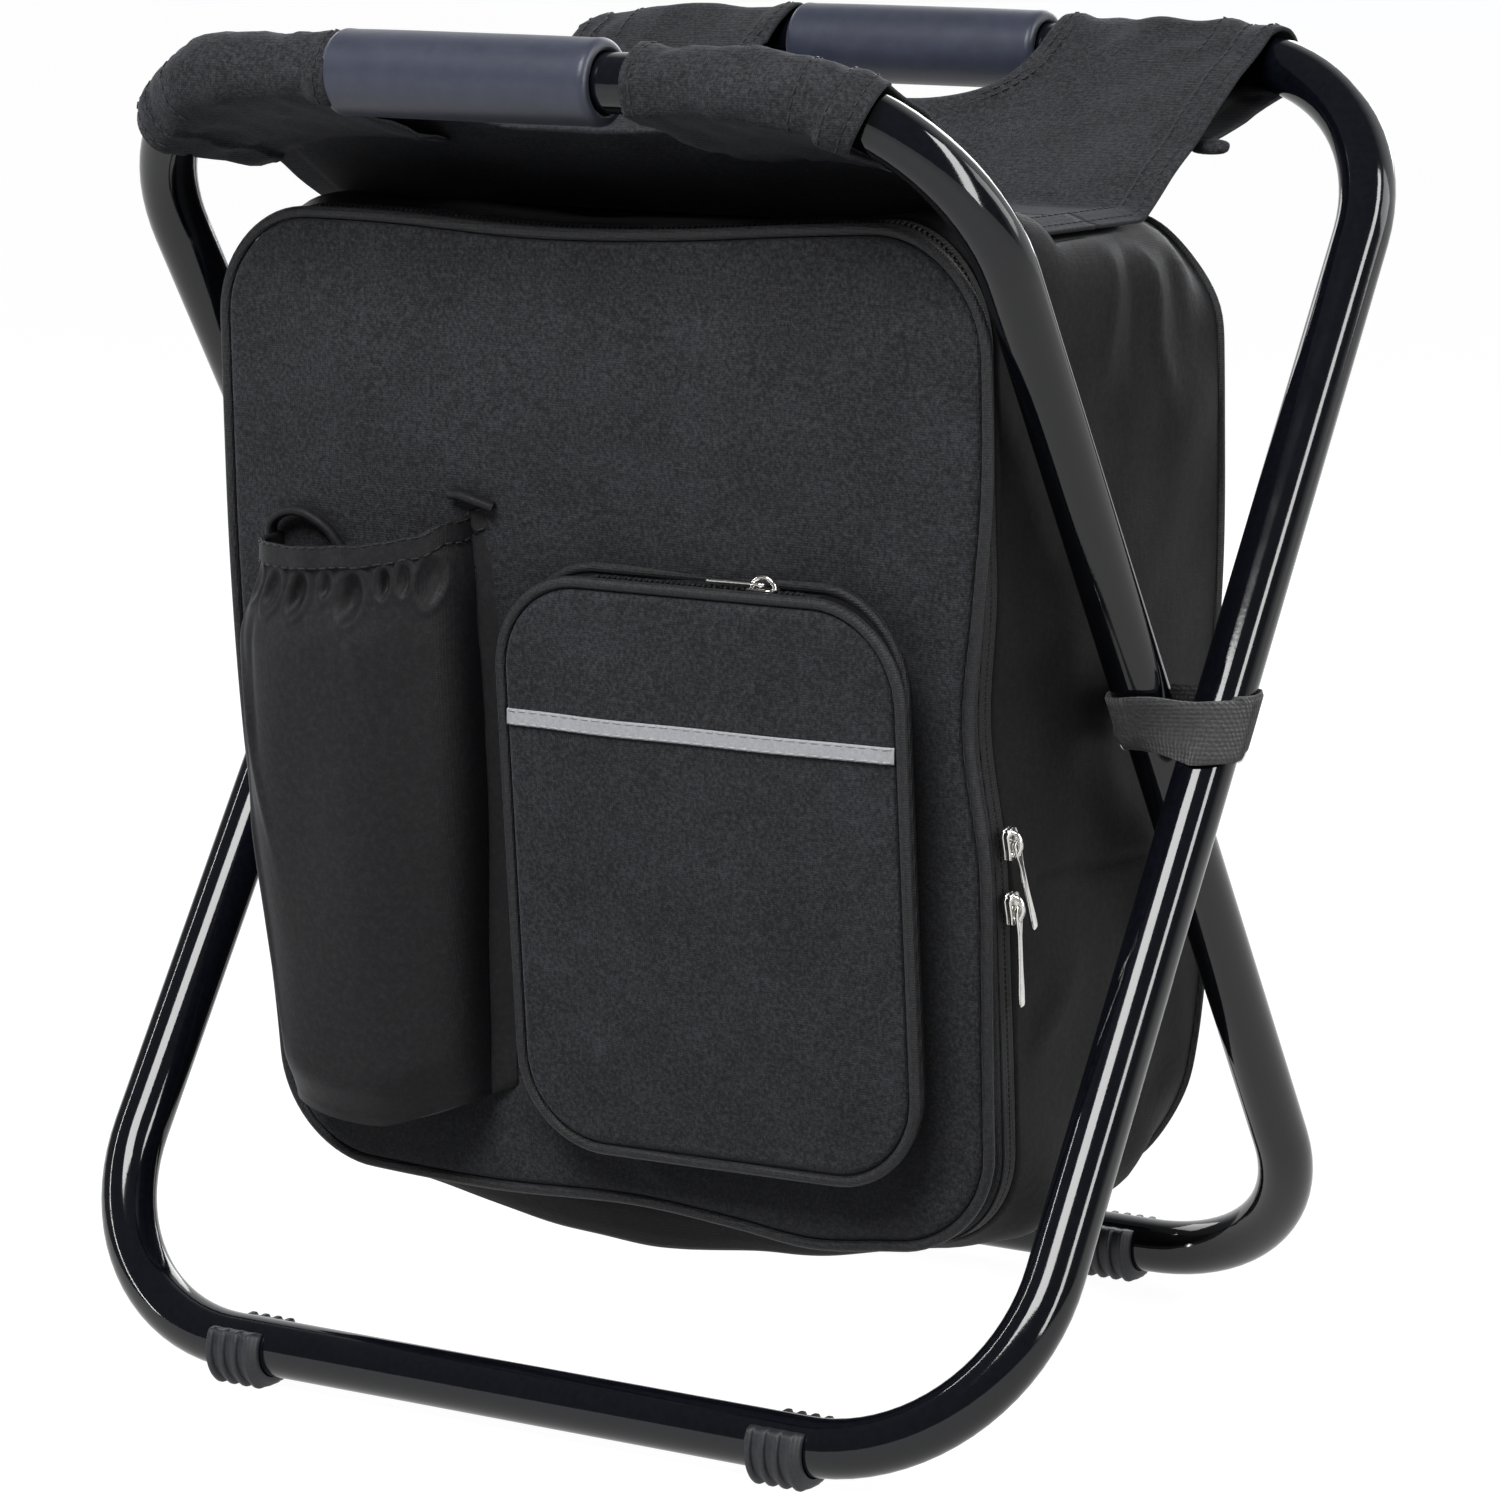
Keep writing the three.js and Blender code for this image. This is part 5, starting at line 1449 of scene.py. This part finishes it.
    def cloth(self, name, seed):
        points, flap, centre = self.grid()
        down = np.gradient(points, axis=0)
        across = np.gradient(points, axis=1)
        normal = unit(np.cross(across, down)) * -self.side
        run = np.linalg.norm(np.diff(points, axis=1), axis=2)
        from_left = np.concatenate([np.zeros((len(points), 1)), np.cumsum(run, axis=1)], axis=1)
        edge = np.minimum(from_left, from_left[:, -1:] - from_left)
        rows = np.arange(len(points))[:, None]
        slide = (points - self.bar(np.zeros(1), self.tangent, np.full(1, SLEEVE_R))) @ self.slope
        lift = HEM_RAISE * self.hem_share(points[..., 0], edge, slide)
        on_slope = smooth((slide - 8) / 25) * smooth((self.length - 4 - slide) / 20)
        lift = lift + on_slope * (0.9 * ripple(points, 60, seed) + 0.35 * ripple(points, 24, seed + 1))
        on_bar = (rows < self.cut_rows) * smooth(edge / 8)
        lift = lift + on_bar * (0.55 * ripple(points, 20, seed + 2) + 0.45 * ripple(points, 9, seed + 3))
        points = points + np.maximum(lift, -0.9)[..., None] * normal
        points[..., 2] += SEAT_CROWN * smooth((slide - self.length + 6) / 8) * smooth(edge / HEM_WIDTH)
        self.points, self.normals = points, normal
        self.flap, self.centre = flap, centre
        faces = []
        cols = points.shape[1]
        for face in quads(*points.shape[:2]):
            row, col = divmod(face[0], cols)
            if row >= self.cut_rows or col < flap - 1 or col >= flap + centre:
                faces.append(face)
        made = make(name, points, faces, CLOTH)
        rework(made.data, drop_loose)
        thicken(made, SEAT_T)
        return made

    def notch_row(self, offset):
        """A line on the slope round the cut-out, at a distance from its edge."""
        radius = NOTCH_CORNER + offset
        side, low = NOTCH_HALF - NOTCH_CORNER, NOTCH_DEPTH - NOTCH_CORNER
        angles = np.radians(np.linspace(180, 90, 16))
        left = [(-side + radius * math.cos(a), low + radius * math.sin(a)) for a in angles]
        line = [(-side - radius, 3.0)] + left + [(-x, s) for x, s in reversed(left)] + [(side + radius, 3.0)]
        line = np.array(line)
        x = NOTCH_X + line[:, 0]
        top = self.bar(x, self.tangent, np.full_like(x, SLEEVE_R))
        return top + line[:, 1:] * self.slope + self.normal * (HEM_RAISE + SEAT_T / 2 + 0.15)

    def stitching(self, name):
        lift = self.normals * (SEAT_T / 2 + 0.12)
        rows, outs = [], []
        cols = self.points.shape[1]
        for col in (3, 6, cols - 4, cols - 7):
            rows.append((self.points + lift)[8:, col])
            outs.append(self.normals[8:, col])
        for col in (12, cols - 13, self.flap - 4, self.flap + self.centre + 3):
            rows.append((self.points + lift)[8:self.cut_rows, col])
            outs.append(self.normals[8:self.cut_rows, col])
        for offset in NOTCH_SEAMS:
            path = even(self.notch_row(offset), 60)[0]
            rows.append(path)
            outs.append(np.broadcast_to(self.normal, path.shape))
        return stitches(name, rows, outs, THREAD)

    def bar_tacks(self, name):
        """A folded end of cloth, sewn down where the seam under the slope ends."""
        place = self.points[0][-1:] + X_AXIS - self.normal * 1.2
        along = np.broadcast_to(X_AXIS, place.shape)
        out = np.broadcast_to(self.normal, place.shape)
        return scatter(name, bead(13.0, 6.5, 4.4, rings=9, sides=12), place, along, out, CLOTH)


def seat():
    halves = (
        ("seat_front", -1, INNER_X, FRONT_WRAP, SEAT_LOW[1], "inner_frame", "inner_frame_tube", 71,
         ("seat_front_panel", "seat_sleeve_front_left", "seat_sleeve_front_right")),
        ("seat_rear", 1, OUTER_X, REAR_WRAP, SEAT_HIGH[1], "outer_frame", "outer_frame_tube", 81,
         ("seat_rear_panel", "seat_sleeve_rear_left", "seat_sleeve_rear_right", "seat_middle")))
    for name, side, half_width, wrap, edge_y, body, tube, seed, nodes in halves:
        half = SeatHalf(side, half_width, wrap, edge_y)
        cloth = half.cloth(name + "_cloth", seed)
        thread = half.stitching(name + "_stitching")
        pieces = [cloth, thread]
        if side > 0:
            pieces.append(half.bar_tacks(name + "_bar_tacks"))
        for piece in pieces:
            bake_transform(piece)
        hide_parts(*nodes)


# Shoulder straps: places on the back, x and z on the right-hand side, and sizes

PAD_TOP = (48.0, 346.0)
PAD_LOW = (74.0, 166.0)
WEB_END = (98.0, 74.0)
PAD_WIDTH = 52.0
PAD_EDGE = 2.4  # height of the bound edge's middle
BINDING_R = 2.1
WEB_WIDTH = 25.0
WEB_T = 1.6
LOCK_T = 3.6
LOCK_BEVEL = 0.7
LOCK_SIZE = (33.0, 26.0)
SLOT_SIZE = (25.0, 4.6)
SLOT_PITCH = 7.6


def shoulder_pad(hand, name, top, low, thick):
    """A cushion with a bound edge and a seam inside it."""
    up = unit(top - low)
    side = np.cross(Y_AXIS, up)
    length = np.linalg.norm(top - low)
    centre = (top + low) / 2
    turn = turns(120)
    across = squared(np.cos(turn), 0.4) * PAD_WIDTH / 2
    along = squared(np.sin(turn), 0.18) * length / 2
    taper = 1 - 0.22 * smooth((-along - length * 0.2) / (length * 0.3))
    rim = across[:, None] * taper[:, None] * side + along[:, None] * up
    rings = [centre + rim * s + Y_AXIS * 0.2 for s in (0.02, 0.5, 0.9)]
    for turn_up in np.radians(np.linspace(0, 90, 7)):
        inset = 0.955 + 0.045 * math.cos(turn_up)
        rings.append(centre + rim * inset + Y_AXIS * (2.6 + 2.2 * math.sin(turn_up)))
    for share in (0.9, 0.86, 0.82, 0.75, 0.65, 0.5, 0.35, 0.2, 0.05):
        crown = thick - 1.2 - (thick - 6.0) * smooth((share - 0.55) / 0.4)
        ring = centre + rim * share + Y_AXIS * crown
        ring = ring + Y_AXIS * (0.45 * ripple(ring, 34, 91 + hand) * (1 - share))[:, None]
        rings.append(ring)
    pad = loft("shoulder_pad_%s_cushion" % name, rings, CLOTH)
    dress(pad, "bag", "cloth", "shoulder_pad_" + name)
    edge = centre + rim * 0.985 + Y_AXIS * PAD_EDGE
    section = circle(BINDING_R, 12)
    binding = sweep("shoulder_pad_%s_binding" % name, edge, section, Y_AXIS, PIPING, closed=True)
    dress(binding, "bag", "piping")
    line = centre + rim * 0.88 + Y_AXIS * (thick - 2.5)
    dress(stitches("shoulder_pad_%s_stitching" % name, [line], Y_AXIS, THREAD, closed=True), "bag", "cloth")


def ladder_lock(name, up):
    slots = [oval(*SLOT_SIZE, 24, 0.35, (0, y)) for y in (-SLOT_PITCH, 0.0, SLOT_PITCH)]
    outlines = [oval(*LOCK_SIZE, 40, 0.22)] + slots
    place = upright(middle("ladder_lock_" + name) + Y_AXIS * 0.2, -np.cross(Y_AXIS, up), up)
    lock = plate("ladder_lock_%s_frame" % name, outlines, LOCK_T, LOCK_BEVEL, place, PLASTIC)
    dress(lock, "bag", "black_plastic", "ladder_lock_" + name)


def shoulder_web(name, start, end):
    """Webbing that rises over the bars of its ladder lock."""
    shares = np.linspace(0, 1, 40)
    path = start + (end - start) * shares[:, None]
    lock_at = np.exp(-((shares * np.linalg.norm(end - start) - 13) / 9) ** 2)
    path = path + Y_AXIS * (0.9 + 3.6 * lock_at)[:, None]
    web_across = np.cross(Y_AXIS, unit(end - start))
    section = band_section(WEB_WIDTH, WEB_T, 10)
    web = sweep("shoulder_web_%s_strap" % name, path, section, web_across, WEBBING)
    dress(web, "bag", "webbing", "shoulder_web_" + name)


def shoulder_strap(hand, name):
    """A padded strap, its ladder lock and its webbing, flat on the bag's back."""
    pad_low, pad_high = box("shoulder_pad_" + name)
    top, low, end = (np.array([hand * x, pad_low[1], z]) for x, z in (PAD_TOP, PAD_LOW, WEB_END))
    up = unit(top - low)
    shoulder_pad(hand, name, top, low, pad_high[1] - pad_low[1])
    ladder_lock(name, up)
    shoulder_web(name, low - up * 4, end)


# Light, floor and camera

HALL_LIGHT = 0.13  # in reflections, above and in front of the object
SOFT_LIGHT = 0.08  # from all round, on the object
FLOOR_TONE = (0.2, 0.2, 0.2, 1)
FLOOR_WHITE = 0.97  # to the camera
FLOOR_MIRRORED = 0.8  # share of that in reflections
FLOOR_HALF = 9000
FLOOR_Z = -0.2
AIM = (0, 0, 0.2)
LEG_WAY = leg_frame(1)[0]
LAMPS = (  # name, place and size in metres, power, and the way that the first side runs
    ("key", (0.12, -1.35, 1.55), (1.0, 0.7), 32.0, X_AXIS),
    ("fill", (1.6, 1.1, 1.1), (0.7, 1.0), 7.0, X_AXIS),
    ("left_fill", (-1.6, 0.9, 1.1), (0.7, 1.0), 7.0, X_AXIS),
    ("strip", (1.9, -0.28, 1.2), (2.6, 0.4), 42.0, LEG_WAY),
    ("side_strip", (-2.0, -0.9, 0.9), (2.2, 0.06), 11.0, LEG_WAY),
    ("back", (-0.3, 1.9, 0.95), (1.1, 1.1), 16.0, X_AXIS))
CAMERA_ANGLES = (31.231, 9.868, 0.456)  # azimuth, elevation and roll, in degrees
CAMERA_PLACE = (0.91784, -1.50761, 0.49972)
LENS = 134.1055
SENSOR = 36.0


def white_to(tree, rays, mirrored):
    """1 for what the camera sees, straight or through glass, and a share of that for reflections."""
    seen = maths(tree, "MAXIMUM", rays["Is Camera Ray"], rays["Is Transmission Ray"])
    return maths(tree, "MAXIMUM", seen, maths(tree, "MULTIPLY", rays["Is Glossy Ray"], mirrored))


def backdrop():
    """White behind the object, and a dim hall above and in front of it."""
    world = bpy.data.worlds.new("studio")
    world.use_nodes = True
    bpy.context.scene.world = world
    tree = world.node_tree
    tree.nodes.clear()
    rays = node(tree, "LightPath").outputs
    where = node(tree, "SeparateXYZ", {0: node(tree, "TexCoord").outputs["Generated"]}).outputs
    span = {"Value": where["Y"], "From Min": 0.3, "From Max": 0.7, "To Min": HALL_LIGHT}
    back_wall = node(tree, "MapRange", span).outputs[0]
    soft = maths(tree, "MULTIPLY", rays["Is Diffuse Ray"], SOFT_LIGHT)
    strength = maths(tree, "ADD", white_to(tree, rays, back_wall), soft)
    sky = node(tree, "Background", {"Color": (0.98, 0.99, 1, 1), "Strength": strength}).outputs[0]
    end = node(tree, "OutputWorld")
    tree.links.new(sky, end.inputs["Surface"])


def lamps():
    """Lamps on the object. The strips only streak the tubes."""
    for name, place, size, power, along in LAMPS:
        lamp = bpy.data.lights.new(name, "AREA")
        lamp.shape = "RECTANGLE"
        lamp.size, lamp.size_y = size
        lamp.energy = power
        made = bpy.data.objects.new(name, lamp)
        away = unit(np.array(place) - AIM)
        across = unit(np.cross(away, along))
        made.matrix_world = upright(place, np.cross(across, away), across)
        made.visible_diffuse = "strip" not in name
        bpy.context.scene.collection.objects.link(made)


def floor_look():
    """A pale floor that shows white to the camera where nothing shades it."""
    material, tree, shader = surface("floor", 0.9)
    shader.inputs["Base Color"].default_value = FLOOR_TONE
    shader.inputs["Specular IOR Level"].default_value = 0.0
    rays = node(tree, "LightPath").outputs
    strength = maths(tree, "MULTIPLY", white_to(tree, rays, FLOOR_MIRRORED), FLOOR_WHITE)
    shader.inputs["Emission Color"].default_value = (1, 1, 1, 1)
    tree.links.new(strength, shader.inputs["Emission Strength"])
    return material


def studio():
    backdrop()
    corners = [(a * FLOOR_HALF, b * FLOOR_HALF, FLOOR_Z) for a, b in ((-1, -1), (1, -1), (1, 1), (-1, 1))]
    floor = make("floor", corners, [(0, 1, 2, 3)], floor_look())
    lamps()


def camera():
    azimuth, elevation, roll = (math.radians(v) for v in CAMERA_ANGLES)
    level = math.cos(elevation)
    back = np.array([math.sin(azimuth) * level, -math.cos(azimuth) * level, math.sin(elevation)])
    right = np.array([math.cos(azimuth), math.sin(azimuth), 0.0])
    up = np.cross(back, right)
    tilted = math.cos(roll) * right + math.sin(roll) * up
    place = np.identity(4)
    place[:3, 0], place[:3, 1], place[:3, 2] = tilted, np.cross(back, tilted), back
    place[:3, 3] = CAMERA_PLACE
    data = bpy.data.cameras.new("camera")
    data.lens = LENS
    data.sensor_width = SENSOR
    made = bpy.data.objects.new("camera", data)
    made.matrix_world = Matrix(place.tolist())
    bpy.context.scene.collection.objects.link(made)
    bpy.context.scene.camera = made


def main():
    bpy.context.scene.view_settings.view_transform = "Standard"
    camera()
    studio()
    tube_loop("inner_frame_tube", -1, INNER_X, "inner_frame")
    tube_loop("outer_frame_tube", 1, OUTER_X, "outer_frame")
    for name in ("inner_frame_joiner", "outer_frame_joiner"):
        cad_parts[name].data.materials.clear()
        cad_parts[name].data.materials.append(NICKEL)
    grip("front_grip", "inner_frame")
    grip("rear_grip", "outer_frame")
    for end, body in (("front", "outer_frame"), ("rear", "inner_frame")):
        for hand in ("left", "right"):
            foot_clip("foot_clip_%s_%s" % (end, hand), body)
    for hand in ("left", "right"):
        rivet("pivot_rivet_" + hand)
        washer("pivot_washer_" + hand)
        pivot_strap("pivot_strap_" + hand, "bag")
    bag_shell()
    foam = bag_cup("insulation_foam_cup", FOAM_INSET, FOAM_T, CUP_FRONT, FOAM, CUP_SEED)
    dress(foam, "bag", "white_foam", "insulation_foam")
    liner = bag_cup("cooler_liner_cup", LINER_INSET, LINER_T, CUP_FRONT, LINER, CUP_SEED)
    dress(liner, "bag", "liner_film", "cooler_liner")
    front_panel()
    panel_layers()
    bag_pipings()
    main_zipper("main_zipper_bag", BAG_TAPE_BACK, -1, "bag", "main_zipper_tape_bag")
    main_zipper("main_zipper_panel", PANEL_TAPE_BACK, 1, "front_panel", "main_zipper_tape_panel")
    zip_pocket()
    reflective_strip()
    pocket_zipper()
    bottle_pocket()
    bottle_band()
    bottle_lips()
    zippers()
    seat()
    shoulder_strap(-1, "left")
    shoulder_strap(1, "right")


main()
